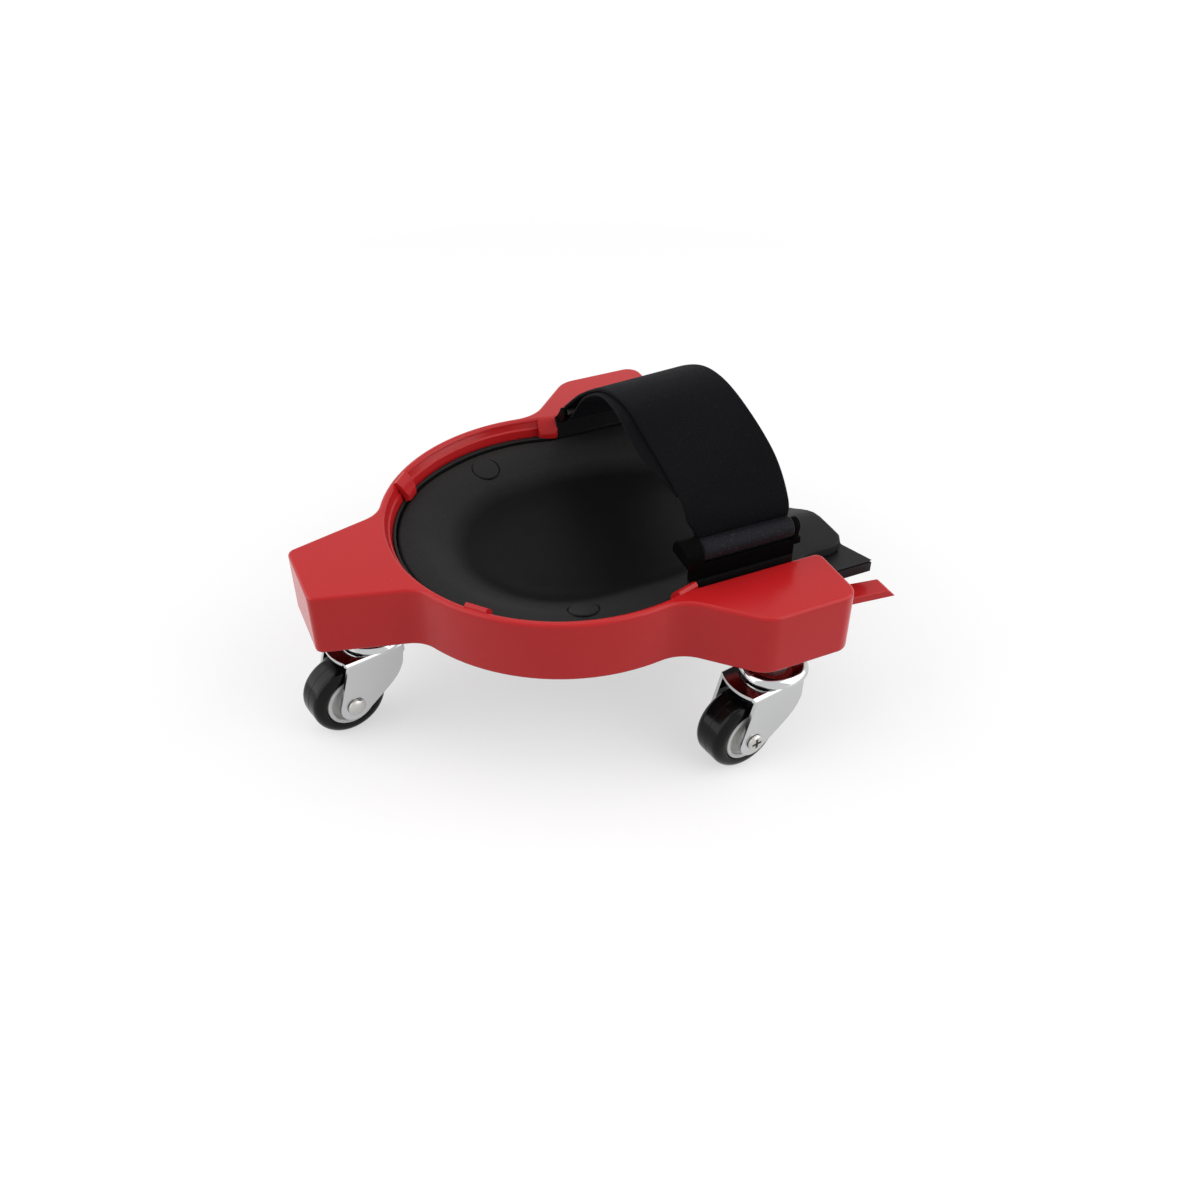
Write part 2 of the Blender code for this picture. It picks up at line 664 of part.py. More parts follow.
def reach_along(outline, angle):
    """Distance from the pad's centre to an outline along a ray."""
    ray = Vector((math.cos(angle), math.sin(angle)))
    centre = Vector((PAD_CENTRE_X, 0))
    best = 0.0
    for first, last in zip(outline, outline[1:]):
        start = Vector(first) - centre
        edge = Vector(last) - Vector(first)
        across = ray.cross(edge)
        if abs(across) < 1e-12:
            continue
        share = start.cross(ray) / across
        if -1e-6 <= share <= 1 + 1e-6:
            best = max(best, start.cross(edge) / across)
    return best


def pad_rays():
    """Directions from the pad's centre, evenly spread, with one to each corner of the tail."""
    step = math.radians(PAD_STEP)
    angles = [i * step for i in range(round(math.pi / step) + 1)]
    marks = tray_outline()[-6:-1] + pad_outline()[-8:-1:2]
    corners = [math.atan2(y, x - PAD_CENTRE_X) for x, y in marks]
    angles = [a for a in angles if all(abs(a - c) > step * 0.3 for c in corners)]
    half = sorted(angles + corners)
    return half + [-a for a in reversed(half) if 1e-6 < a < math.pi - 1e-6]


def at_ray(angle, reach):
    return PAD_CENTRE_X + reach * math.cos(angle), reach * math.sin(angle)


def pad_middle(drop):
    return PAD_CENTRE_X, 0.0, pad_height(PAD_CENTRE_X, 0.0) - drop


def build_knee_pad(material, parent):
    """The soft dished pad, one thickness all over, with its edge rounded."""
    half = pad_outline()
    rays = pad_rays()
    reaches = [reach_along(half, abs(angle)) for angle in rays]

    def loop(share, back, drop):
        points = []
        for angle, reach in zip(rays, reaches):
            x, y = at_ray(angle, reach * share - back)
            points.append((x, y, pad_height(x, y) - drop))
        return points

    edge = PAD_EDGE_ROUND
    loops = [loop(share, 0, 0) for share in PAD_SHARES]
    loops += [loop(1, edge * 1.6, 0), loop(1, edge * 0.5, edge * 0.35), loop(1, 0, edge * 1.2)]
    loops += [loop(1, 0, PAD_THICK - edge * 0.5), loop(1, edge * 0.5, PAD_THICK)]
    loops += [loop(share, 0, PAD_THICK) for share in reversed(PAD_SHARES)]
    bm = skin(loops, (pad_middle(0), pad_middle(PAD_THICK)))
    for side in (1, -1):
        place = button_place(side)
        hole = rod(SHANK_BORE_R, -PAD_THICK * 2, PAD_THICK, PIN_SEGMENTS)
        seat = rod(BUTTON_R + SEAT_GAP, -BUTTON_SINK, PAD_THICK, CUP_SEGMENTS)
        bm = cut(bm, moved(hole, place), moved(seat, place))
    add_part("knee_pad", to_mesh("knee_pad", bm), material, parent)


def tray_shell():
    """The tray's dish: a floor under the pad, a lip round it and a deep edge along the tail."""
    pad = pad_outline()
    tray = tray_outline()
    rays = pad_rays()
    floor = PAD_THICK + PAD_GAP

    def loop(place):
        points = []
        for angle in rays:
            inner = reach_along(pad, abs(angle)) + PAD_GAP
            outer = max(reach_along(tray, abs(angle)), inner + LIP_WIDTH)
            points.append(place(angle, inner, outer))
        return points

    def dish(share, drop):
        def place(angle, inner, outer):
            x, y = at_ray(angle, (inner - PAD_GAP) * share)
            return x, y, pad_height(x, y) - drop
        return loop(place)

    def rim(on_outer, back, level):
        def place(angle, inner, outer):
            x, y = at_ray(angle, (outer if on_outer else inner) - back)
            foot_x, foot_y = at_ray(angle, inner)
            return x, y, pad_height(foot_x, foot_y) - level(x, y)
        return loop(place)

    def floor_level(x, y):
        return floor

    def lip_top(x, y):
        lip = 1 - smooth_step((REAR_X + NECK_FORE - x) / (NECK_FORE - LIP_END))
        return floor - lip * (floor - SEAT_GAP * 2) - SEAT_GAP

    def edge_foot(x, y):
        on_wing = x < REAR_X - PAD_GAP * 3 and abs(y) > TRAY_WING_START - PAD_GAP
        return floor + (TRAY_EDGE if on_wing else TRAY_THICK)

    def underside(x, y):
        return floor + TRAY_THICK

    loops = [dish(share, floor) for share in PAD_SHARES]
    loops += [rim(False, 0, floor_level), rim(False, 0, lip_top), rim(True, 0, lip_top)]
    loops += [rim(True, 0, edge_foot), rim(True, LIP_WIDTH, edge_foot)]
    loops += [rim(True, TRAY_EDGE_WIDTH, underside)]
    loops += [dish(share, floor + TRAY_THICK) for share in reversed(PAD_SHARES)]
    return skin(loops, (pad_middle(floor), pad_middle(floor + TRAY_THICK)))


def ear_lean(side):
    """Turns an upright left ear in over the pad, about the bend in its web."""
    bend = Vector((0, EAR_INNER_Y + EAR_THICK / 2, FRAME_TOP + EAR_HINGE))
    turn = Matrix.Rotation(math.radians(EAR_LEANS[side]), 4, "X")
    return Matrix.Translation(bend) @ turn @ Matrix.Translation(-bend)


def bar_axis(side):
    """Where the left (1) or the right (-1) cross bar's axis lies, as y and z."""
    place = ear_lean(side) @ Vector((0, BAR_Y, BAR_Z))
    return place.y * side, place.z


def bar_place(side):
    """Lays a rod drawn along Z on a cross bar's axis."""
    return Matrix.Translation((0, *bar_axis(side))) @ Matrix.Rotation(math.radians(90), 4, "Y")


def strap_ear(side):
    """An ear: a web on the tray's side that bends in, a cradle along its top and a lug at each end."""
    web_top = FRAME_TOP + EAR_WEB_TOP
    root = web_top - CRADLE_DEPTH / 2
    slope_top = FRAME_TOP - FUNNEL_TOP
    bend = FRAME_TOP + EAR_HINGE
    foot = FRAME_TOP - LEDGE_DROP + TRAY_THICK * 1.5
    outer = EAR_INNER_Y + EAR_THICK
    span = (EAR_REAR_X + EAR_WEB_SETBACKS[1], EAR_FRONT_X - EAR_WEB_SETBACKS[0])
    above = bend + EAR_THICK / 4
    below = bend - EAR_THICK / 4
    stump = prism([(EAR_INNER_Y, foot), (EAR_FOOT_Y, foot), (EAR_FOOT_Y, slope_top - FUNNEL_DROP * 0.8),
                   (outer, slope_top), (outer, above), (EAR_INNER_Y, above)], *span)
    web = prism([(EAR_INNER_Y, below), (outer, below), (outer, root), (EAR_INNER_Y, root)], *span)
    cradle = box((EAR_REAR_X, BAR_Y - CRADLE_HALF, web_top - CRADLE_DEPTH),
                 (EAR_FRONT_X, BAR_Y + CRADLE_HALF, web_top))
    lug = [(BAR_Y + LUG_R, root), *arc((BAR_Y, BAR_Z), LUG_R, 0, math.pi), (BAR_Y - LUG_R, root)]
    front = prism(lug, EAR_FRONT_X - LUG_FRONT_THICK, EAR_FRONT_X + SEAT_GAP)
    rear = prism(lug, EAR_REAR_X - SEAT_GAP, EAR_REAR_X + LUG_REAR_THICK)
    head = join(moved(web, ALONG_X), cradle, moved(front, ALONG_X), moved(rear, ALONG_X))
    ear = join(moved(stump, ALONG_X), moved(head, ear_lean(side)))
    ear = ear if side > 0 else flipped(ear)
    bore = rod(BAR_BORE_R, EAR_REAR_X - WALL, BAR_FRONT_X, PIN_SEGMENTS)
    return cut(ear, moved(bore, bar_place(side)))


def flipped(bm):
    """The same closed shape on the other side of the XZ plane."""
    bmesh.ops.scale(bm, vec=(1, -1, 1), verts=bm.verts)
    bmesh.ops.reverse_faces(bm, faces=bm.faces)
    return bm


def button_place(side):
    """The pad button's seat: on the pad's face, square to it."""
    turn = math.radians(BUTTON_ANGLE) * side
    x = BUTTON_OUT * math.cos(turn)
    y = BUTTON_OUT * math.sin(turn)
    step = BUTTON_R / 2
    slope_x = (pad_height(x + step, y) - pad_height(x - step, y)) / (2 * step)
    slope_y = (pad_height(x, y + step) - pad_height(x, y - step)) / (2 * step)
    normal = Vector((-slope_x, -slope_y, 1)).normalized()
    tilt = Vector((0, 0, 1)).rotation_difference(normal).to_matrix().to_4x4()
    return Matrix.Translation((x, y, pad_height(x, y))) @ tilt


def build_tray(material, parent):
    bm = join(tray_shell(), strap_ear(1), strap_ear(-1))
    for side in (1, -1):
        hole = rod(SHANK_BORE_R, -PAD_TO_LEDGE * 2, PAD_THICK, PIN_SEGMENTS)
        bm = cut(bm, moved(hole, button_place(side)))
    add_part("pad_tray", to_mesh("pad_tray", bm), material, parent)


def build_buttons(material, parent):
    """Push-in buttons that hold the pad to the tray."""
    foot = -PAD_TO_LEDGE - BUTTON_TIP
    seat = SEAT_GAP - BUTTON_SINK
    crown = seat + BUTTON_HEAD
    profile = [(0, crown), (BUTTON_FACE_R, crown), (BUTTON_R, crown - BUTTON_HEAD * 0.4), (BUTTON_R, seat),
               (BUTTON_SHANK_R, seat), (BUTTON_SHANK_R, foot), (0, foot)]
    mesh = to_mesh("pad_button", lathe(profile, CUP_SEGMENTS))
    for name, side in (("pad_button_left", 1), ("pad_button_right", -1)):
        button = add_part(name, mesh, material, parent)
        button.matrix_local = button_place(side)


def build_bars(material, parent):
    """The cross bars that the strap is looped round."""
    mesh = to_mesh("strap_bar", rod(BAR_R, EAR_REAR_X, BAR_FRONT_X - SEAT_GAP, PIN_SEGMENTS))
    for name, side in (("strap_bar_left", 1), ("strap_bar_right", -1)):
        bar = add_part(name, mesh, material, parent)
        bar.matrix_local = bar_place(side)


def smooth_curve(knots, steps):
    """Points on a smooth curve through the knots, with so many steps from each to the next."""
    knots = [knots[0] * 2 - knots[1], *knots, knots[-1] * 2 - knots[-2]]
    points = []
    for a, b, c, d in zip(knots, knots[1:], knots[2:], knots[3:]):
        for i in range(steps):
            t = i / steps
            bend = (a * 2 - b * 5 + c * 4 - d) * t**2 + (b * 3 - a - c * 3 + d) * t**3
            points.append((b * 2 + (c - a) * t + bend) / 2)
    return points + [knots[-2]]


def strap_arch(knots, x):
    """Closed cross-section of the strap's arch at one edge: outer face, then inner face."""
    near, far = Vector(bar_axis(1)), Vector(bar_axis(-1))
    outward = (BAR_R + STRAP_ROLL) / 2
    knots = [Vector((BAR_Y * share, FRAME_TOP + rise)) for share, rise in knots]
    middle = smooth_curve([near + Vector((0, outward)), *knots, far + Vector((0, outward))], STRAP_STEPS)
    last = len(middle) - 1
    outer = []
    inner = []
    for i, point in enumerate(middle):
        along = (middle[min(i + 1, last)] - middle[max(i - 1, 0)]).normalized()
        normal = Vector((along.y, -along.x))
        share = min(i, last - i) / last
        lap = STRAP_LAP * (1 - smooth_step((share - STRAP_LAP_SHARE) / STRAP_LAP_FADE))
        outer.append(point + normal * (STRAP_THICK / 2))
        inner.append(point - normal * (STRAP_THICK / 2 + lap))
    return [(x, p.x, p.y) for p in outer + inner[::-1]]


def build_strap(material, parent):
    """The leg strap: a webbing arch, each end looped round its bar and turned back inside."""
    arch = skin([strap_arch(STRAP_FRONT_KNOTS, STRAP_FRONT_X - STRAP_GAP),
                 strap_arch(STRAP_REAR_KNOTS, STRAP_REAR_X + STRAP_GAP)])
    for side in (1, -1):
        roll = rod(ROLL_R, STRAP_REAR_X, STRAP_FRONT_X, CUP_SEGMENTS)
        hole = rod(BAR_BORE_R, STRAP_REAR_X - WALL, STRAP_FRONT_X + WALL, PIN_SEGMENTS)
        arch = join(arch, moved(roll, bar_place(side)))
        arch = cut(arch, moved(hole, bar_place(side)))
    add_part("leg_strap", to_mesh("leg_strap", arch), material, parent)


def fork_mesh():
    """Pressed fork: a bent sheet, trimmed to its side view and its top view, with its holes."""
    low = WHEEL_R - FORK_END_R - FORK_SHEET
    high = CROWN_TOP + FORK_SHEET
    heel = CROWN_REAR_R + FORK_SHEET
    toe = TRAIL + FORK_END_R + FORK_SHEET
    wide = FORK_HALF * 2
    bend = (FORK_HALF - FORK_BEND_R, CROWN_TOP - FORK_BEND_R)
    outer = [(FORK_HALF, low)] + arc(bend, FORK_BEND_R, 0, math.pi / 2, BEND_STEP)
    inner = arc(bend, FORK_BEND_R - FORK_SHEET, math.pi / 2, 0, BEND_STEP) + [(FORK_INSIDE, low)]
    section = outer + [(-y, z) for y, z in reversed(outer)]
    section += [(-y, z) for y, z in reversed(inner)] + inner
    sheet = moved(prism(section, -heel, toe), ALONG_X)
    end = arc((TRAIL, WHEEL_R), FORK_END_R, math.radians(-125), math.radians(15), BEND_STEP)
    side = [(-heel, high), (-heel, CROWN_TOP - FORK_HEEL_DROP)]
    side += [(ahead, WHEEL_R + above) for ahead, above in FORK_BACK] + end
    side += [(CROWN_LIP, CROWN_TOP - FORK_FRONT_DROP), (CROWN_LIP, high)]
    side_view = moved(prism(side, -wide, wide), ALONG_Y)
    lip = math.radians(FORK_LIP_ANGLE)
    rear = math.radians(FORK_REAR_ANGLE)
    plan = arc((0, 0), CROWN_LIP, -lip, lip, BEND_STEP / 2)
    plan += arc((0, 0), CROWN_REAR_R, rear, math.tau - rear, BEND_STEP)
    top_view = join(prism(plan, low - FORK_SHEET * 2, high + FORK_SHEET),
                    box((0, -wide, low - FORK_SHEET), (toe + FORK_SHEET, wide, CROWN_TOP - FORK_FRONT_DROP)))
    king = rod(STEM_R + RUN_GAP, CROWN_TOP - FORK_BEND_R, high, PIN_SEGMENTS)
    axle = rod(SLEEVE_R + SEAT_GAP, -wide, wide, PIN_SEGMENTS)
    axle = moved(axle, Matrix.Translation((TRAIL, 0, WHEEL_R)) @ ALONG_Y)
    return to_mesh("caster_fork", cut(common(sheet, side_view, top_view), king, axle))


def cup_mesh():
    """Bearing cup over the balls, fixed to the stem."""
    foot = CUP_TOP - CUP_HEIGHT
    profile = [(STEM_BORE_R, CUP_TOP), (CUP_CROWN_R, CUP_TOP), (CUP_R - CUP_WALL, CUP_TOP - CUP_WALL / 3),
               (CUP_R - CUP_WALL / 3, CUP_TOP - CUP_WALL), (CUP_R, foot), (CUP_R - CUP_WALL, foot),
               (CUP_R - CUP_WALL * 1.2, CUP_ROOF), (STEM_BORE_R, CUP_ROOF)]
    return to_mesh("bearing_cup", lathe(profile, CUP_SEGMENTS))


def cage_mesh():
    """A ring of balls held in their cage, as one piece that rolls between cup and crown."""
    middle = CROWN_TOP + SEAT_GAP + BALL_R
    steps = BALL_COUNT * 2
    bm = bmesh.new()
    rings = []
    for i in range(steps):
        turn = math.tau * i / steps
        swell = BALL_R if i % 2 == 0 else BALL_R * CAGE_NECK
        ring = []
        for j in range(CAGE_SIDES):
            angle = math.tau * j / CAGE_SIDES + math.pi / 2
            reach = BALL_CIRCLE_R + swell * math.cos(angle)
            ring.append(bm.verts.new((reach * math.cos(turn), reach * math.sin(turn),
                                      middle + swell * math.sin(angle))))
        rings.append(ring)
    for i, ring in enumerate(rings):
        after = rings[(i + 1) % steps]
        for j in range(CAGE_SIDES):
            bm.faces.new((ring[j - 1], ring[j], after[j], after[j - 1]))
    bmesh.ops.recalc_face_normals(bm, faces=bm.faces)
    return to_mesh("ball_cage", bm)


def stem_mesh():
    """King pin: a headed shank below, the thread that holds it in the frame above."""
    under = CROWN_TOP - FORK_SHEET - SEAT_GAP
    head = under - STEM_HEAD
    tip = RIDE_HEIGHT + STEM_LENGTH
    profile = [(0, tip), (STEM_R - STEM_TIP, tip), (STEM_R, tip - STEM_TIP), (STEM_R, under),
               (STEM_HEAD_R, under), (STEM_HEAD_R, under - STEM_HEAD * 0.4),
               (STEM_HEAD_R * 0.7, head), (0, head)]
    return to_mesh("caster_stem", lathe(profile, PIN_SEGMENTS))


def nut_mesh(low, height):
    """Plain hex nut on the stem."""
    bore = rod(STEM_BORE_R, low - STEM_R, low + height + STEM_R, PIN_SEGMENTS)
    return to_mesh("hex_nut", cut(hex_prism(NUT_FLATS, low, low + height), bore))


def wheel_mesh(name, upper):
    """Turn a wheel part from the upper half of its profile."""
    return to_mesh(name, lathe(upper + [(r, -z) for r, z in reversed(upper)], WHEEL_SEGMENTS))


def tyre_mesh():
    half = TYRE_WIDTH / 2
    inner = HUB_R + SEAT_GAP
    centre = (WHEEL_R - TYRE_ROUND, half - TYRE_ROUND)
    corner = arc(centre, TYRE_ROUND, math.pi / 2, 0, BEND_STEP * 1.5)
    return wheel_mesh("tyre", [(inner, half - TYRE_BEAD), (inner + TYRE_BEAD, half)] + corner)


def hub_mesh():
    half = TYRE_WIDTH / 2
    boss = FORK_INSIDE - RUN_GAP
    web = half - HUB_RECESS
    rim = HUB_R - HUB_RIM
    return wheel_mesh("hub", [(HUB_BORE_R, boss), (HUB_BOSS_R, boss), (HUB_BOSS_R, web), (rim, web),
                              (rim, half), (HUB_R, half)])


def sleeve_mesh():
    """Axle sleeve through fork and hub, with a domed head outside one leg."""
    seat = FORK_HALF + SEAT_GAP
    foot = SEAT_GAP - FORK_HALF
    floor = foot + SCREW_REACH + SEAT_GAP
    profile = [(0, seat + AXLE_HEAD), (AXLE_HEAD_R * 0.55, seat + AXLE_HEAD * 0.9),
               (AXLE_HEAD_R * 0.9, seat + AXLE_HEAD * 0.5), (AXLE_HEAD_R, seat), (SLEEVE_R, seat),
               (SLEEVE_R, foot), (SLEEVE_BORE_R, foot), (SLEEVE_BORE_R, floor), (0, floor)]
    return to_mesh("axle_sleeve", lathe(profile, PIN_SEGMENTS))


def screw_mesh():
    """Cross-head screw that closes the axle sleeve from the other leg."""
    seat = -FORK_HALF - SEAT_GAP
    crown = seat - AXLE_HEAD
    tip = SCREW_REACH - FORK_HALF
    profile = [(0, tip), (SCREW_R, tip), (SCREW_R, seat), (AXLE_HEAD_R, seat),
               (AXLE_HEAD_R * 0.94, seat - AXLE_HEAD * 0.5), (AXLE_HEAD_R * 0.6, crown), (0, crown)]
    slot = CROSS_WIDTH / 2
    below = crown - CROSS_DEPTH
    floor = crown + CROSS_DEPTH
    cross = join(box((-CROSS_ARM, -slot, below), (CROSS_ARM, slot, floor)),
                 box((-slot, -CROSS_ARM, below), (slot, CROSS_ARM, floor)))
    return to_mesh("axle_screw", cut(lathe(profile, PIN_SEGMENTS), cross))


def build_casters(materials, parent):
    """Three casters. The left one's axle is put in from the other side."""
    captive_nut = nut_mesh(RIDE_HEIGHT + CAPTIVE_NUT_LIFT, CAPTIVE_NUT_HEIGHT)
    stem_nut = nut_mesh(CUP_TOP + SEAT_GAP, STEM_NUT_HEIGHT)
    on_frame = {"stem": (stem_mesh(), "steel"), "bearing_cup": (cup_mesh(), "chrome"),
                "captive_nut": (captive_nut, "steel"), "stem_nut": (stem_nut, "steel")}
    on_swivel = {"ball_cage": (cage_mesh(), "steel"), "fork": (fork_mesh(), "chrome")}
    on_axle = {"hub": (hub_mesh(), "hub"), "tyre": (tyre_mesh(), "tyre"),
               "axle_sleeve": (sleeve_mesh(), "chrome"), "axle_screw": (screw_mesh(), "chrome")}
    for name, (x, y) in swivels().items():
        mount = make_empty(f"{name}_mount", (x, y, 0), parent=parent)
        swivel = make_empty(f"{name}_swivel", (0, 0, 0), (0, 0, math.radians(REST_ANGLES[name])), mount)
        lie = -90 if name != "left" else 90
        axle = make_empty(f"{name}_axle", (TRAIL, 0, WHEEL_R), (math.radians(lie), 0, 0), swivel)
        for pieces, holder in ((on_frame, mount), (on_swivel, swivel), (on_axle, axle)):
            for piece, (mesh, finish) in pieces.items():
                add_part(f"{name}_{piece}", mesh, materials[finish], holder)


def main():
    clear_scene()
    materials = {
        "red": make_material("red_plastic", (0.55, 0.03, 0.035), 0.35),
        "black": make_material("black_plastic", (0.02, 0.02, 0.022), 0.45),
        "foam": make_material("black_foam", (0.025, 0.025, 0.027), 0.55),
        "webbing": make_material("black_webbing", (0.012, 0.012, 0.014), 0.85),
        "chrome": make_material("chrome", (0.8, 0.8, 0.82), 0.12, 1.0),
        "steel": make_material("zinc_steel", (0.6, 0.6, 0.62), 0.35, 1.0),
        "hub": make_material("grey_nylon", (0.62, 0.62, 0.62), 0.5),
        "tyre": make_material("black_tyre", (0.01, 0.01, 0.011), 0.3),
    }
    creeper = make_empty("creeper", (RING_X, 0, 0))
    build_frame(materials["red"], creeper)
    build_tray(materials["black"], creeper)
    build_knee_pad(materials["foam"], creeper)
    build_buttons(materials["black"], creeper)
    build_bars(materials["steel"], creeper)
    build_strap(materials["webbing"], creeper)
    build_casters(materials, creeper)


main()
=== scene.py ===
"""Visible pieces of a rolling knee creeper, built on its fixed frame.

+X is the front, +Y the left side and +Z up. Lengths are metres. Plan shapes are drawn round the
ring's centre and then moved to where the frame has it.
"""
import json
import math

import bmesh
import bpy
from bpy.props import FloatProperty, FloatVectorProperty, IntProperty, PointerProperty
from mathutils import Matrix, Vector


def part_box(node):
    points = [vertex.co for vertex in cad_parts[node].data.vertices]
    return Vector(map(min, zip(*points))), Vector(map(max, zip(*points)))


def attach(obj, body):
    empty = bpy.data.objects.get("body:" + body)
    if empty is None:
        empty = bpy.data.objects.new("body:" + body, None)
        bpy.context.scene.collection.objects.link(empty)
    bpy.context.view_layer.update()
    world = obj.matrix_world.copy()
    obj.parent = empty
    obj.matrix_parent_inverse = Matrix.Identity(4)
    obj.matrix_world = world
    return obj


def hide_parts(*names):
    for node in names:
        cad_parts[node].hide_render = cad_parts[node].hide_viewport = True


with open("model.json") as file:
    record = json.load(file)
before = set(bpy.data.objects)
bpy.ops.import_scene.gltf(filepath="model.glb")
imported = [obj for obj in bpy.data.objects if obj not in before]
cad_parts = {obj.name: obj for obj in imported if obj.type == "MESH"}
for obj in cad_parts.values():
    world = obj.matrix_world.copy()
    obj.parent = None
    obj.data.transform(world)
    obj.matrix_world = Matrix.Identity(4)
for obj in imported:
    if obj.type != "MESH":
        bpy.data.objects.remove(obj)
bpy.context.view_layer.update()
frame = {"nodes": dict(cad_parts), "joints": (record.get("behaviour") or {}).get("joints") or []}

bl_info = {
    "name": "Rolling Knee Creeper",
    "version": (1, 0, 0),
    "blender": (4, 5, 0),
    "location": "3D View > Sidebar > Creeper",
    "description": "Builds the visible pieces of a rolling knee creeper on its fixed frame",
    "category": "Object",
}

# Read from the frame
FRAME_LOW, FRAME_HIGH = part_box("frame")
PAD_LOW, PAD_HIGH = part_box("knee_pad")
JOINTS = {joint["name"]: joint for joint in frame["joints"]}

# The three casters, and the side of Y that each ear and button lies on
SIDES = ("front", "left", "right")
HANDS = {"left": 1, "right": -1}

# The gap between pieces that seat on each other, and tolerances
SEAT_GAP = 0.0003
MERGE_DISTANCE = 0.000004
TINY = 0.000001

# Frame in plan, round the ring's centre
RING_R = 0.090
RIM_INNER_R = 0.086
CHANNEL_HALF = 0.0825
FRONT_END_X = 0.131
FRONT_END_HALF = 0.020
FRONT_FLANK = math.radians(15)
FRONT_CORNER_R = 0.004
FRONT_BLEND_R = 0.015
REAR_X = -0.0945
POD_SIDE_Y = 0.117
SHOULDER_X = -0.0485
SHOULDER = math.radians(45)
SHOULDER_R = 0.015
REAR_BLEND_R = 0.020
REAR_CORNER_R = 0.008
INNER_CORNER_R = 0.004
POD_TOE = 0.0096
RING_X = FRAME_HIGH.x - FRONT_END_X

# Frame in height and section
RIDE = FRAME_LOW.z
FRAME_TOP = RIDE + 0.032
WALL = 0.0032
ROOF = 0.0035
RIB = 0.002
BOSS_R = 0.0109
FUNNEL_TOP = 0.005
FUNNEL_RUN = 0.004
WALL_SLOPE = math.radians(72)
CREASE_RUN = 0.0010
SHELF = 0.0009
RIM_DROP = FRAME_TOP - PAD_HIGH.z
LEDGE_DROP = 0.0188
LEDGE_RUN = 0.004
LEDGE_THICK = 0.003
COLLAR_ROOT = 0.002
ARM_ROOT = (0.0765, 0.0885)
ARM_TIP = (0.0832, 0.0932)
ARM_LEVELS = (RIDE + 0.0003, RIDE + 0.0046)
ARM_END_X = FRAME_LOW.x - RING_X
ARM_CHAMFER = 0.0042
CLIP_ANGLES = (41.0, 107.2, -41.0, -107.2)
CLIP_REACH = 0.0064
CLIP_ROOT = 0.0016
CLIP_THICK = 0.0024
CLIP_CORNER_R = 0.0034

# Pad and tray
PAD_THICK = 0.006
PAD_CENTRE_X = -0.020
PAD_MARGIN = 0.0069
PAD_LEAD = 0.0021
PAD_LEAD_FROM = math.radians(35)
PAD_LEAD_FADE = math.radians(35)
BOWL_TOP_R = 0.073
BOWL_DEPTH = 0.0145
BOWL_SLOPE = 0.039
GROOVE_HALF = 0.047
GROOVE_START_X = -0.030
NECK_FORE = 0.0105
NECK_AFT = 0.0035
PAD_TAIL_X = PAD_LOW.x - RING_X
PAD_TAIL_HALF = 0.070
PAD_TAIL_R = 0.008
PAD_RAY_STEP = math.radians(2.5)
PAD_LOOPS = 20
NECK_STEPS = 12
TRAY_MARGIN = 0.0037
TRAY_FLOOR = PAD_THICK + 0.0005
TRAY_THICK = 0.0025
TRAY_TAIL_X = -0.117
TRAY_WING_X = -0.127
TRAY_WING_HALF = 0.081
TRAY_WING_START = 0.062
TRAY_EDGE = 0.0064
TRAY_EDGE_WIDTH = 0.0055
TRAY_RAY_STEP = math.radians(4)
TRAY_LOOPS = 12
LIP_WIDTH = 0.0014
LIP_END = 0.0015
LIP_RISE = 0.0008
GROOVE_DEEP = 0.0008
PAD_GAP = 0.0005
# Heights, tones and ragged edge of the pad's painted sheen: paler on the high border, darker in the dish
PAD_SHEEN_LEVELS = (0.0105, 0.0050)
PAD_SHEEN_TONES = (0.75, 3.3)
PAD_SHEEN_EDGE = 0.0012
BUTTON_ANGLE = math.radians(75)
BUTTON_OUT = 0.0664
BUTTON_R = 0.007
BUTTON_EDGE = 0.0002
BUTTON_HEAD = 0.0007
BUTTON_SEAT = 0.0012
BUTTON_HOLE_R = 0.0028
BUTTON_STEM_R = 0.0025
BUTTON_STEM_OUT = 0.0025
BUTTON_TAPER = 0.0012
BUTTON_TIP_R = 0.0018

# Ears, bars and strap. Where the ears differ, 1 is the left one and -1 the right one
BAR_Y = 0.077
BAR_Z = FRAME_TOP + 0.0155
BAR_R = 0.0024
BAR_BORE_R = 0.0027
EAR_REAR_X = -0.0855
EAR_WEB_SPAN = (-0.0820, -0.0285)
EAR_INNER_Y = 0.0763
EAR_THICK = 0.0026
EAR_FOOT_Y = 0.0777
EAR_WEB_TOP = FRAME_TOP + 0.009
EAR_BEND = FRAME_TOP + 0.001
EAR_LEANS = {1: 0.0, -1: math.radians(48)}
CRADLE_DEPTH = 0.0035
CRADLE_HALF = 0.0022
LUG_HEAD = (math.radians(-25), math.radians(205))
LUG_REAR_R = 0.0038
LUG_REAR = 0.0032
LUG_FRONT_X = {1: -0.0232, -1: -0.0278}
LUG_RADII = {1: 0.0068, -1: 0.0034}
LUG_UNDERCUTS = {1: 0.0062, -1: 0.0012}
BAR_TIPS = {1: -0.0278, -1: -0.0292}
STRAP_FRONT_X = -0.0303
STRAP_REAR_X = -0.0800
ROLL_TUCKS = {1: 0.0028, -1: 0.0}
STRAP_ATTRIBUTES = ("along", "across", "rolled")
# The strap's turns round its bars, in degrees, and the steps in which it is drawn
NEAR_LEAVE = 168
FAR_MEET = 124
ROLL_STEP = 16
ROLL_STEPS = 20
FAR_STEPS = 11
ARCH_STEPS = 12
SWELL_FADE = 10
TUCK_FADE = (4, 9)
LAP_FADE = 16
# The turned-back end's gap from the strap, in thicknesses, and its bow in shares of the arch
LAP_GAP = 1.06
LAP_BOW = 0.5
LAP_BOW_START = 0.86
LAP_BOW_RISE = 0.40
LAP_BOW_FALL = 0.20
# The strap's thin edge: share of the width, share of the thickness
STRAP_EDGE = ((0.0, 0.45), (0.008, 0.85), (0.025, 1.0))
STRAP_INSIDE = 0.06
STRAP_COLUMNS = 15
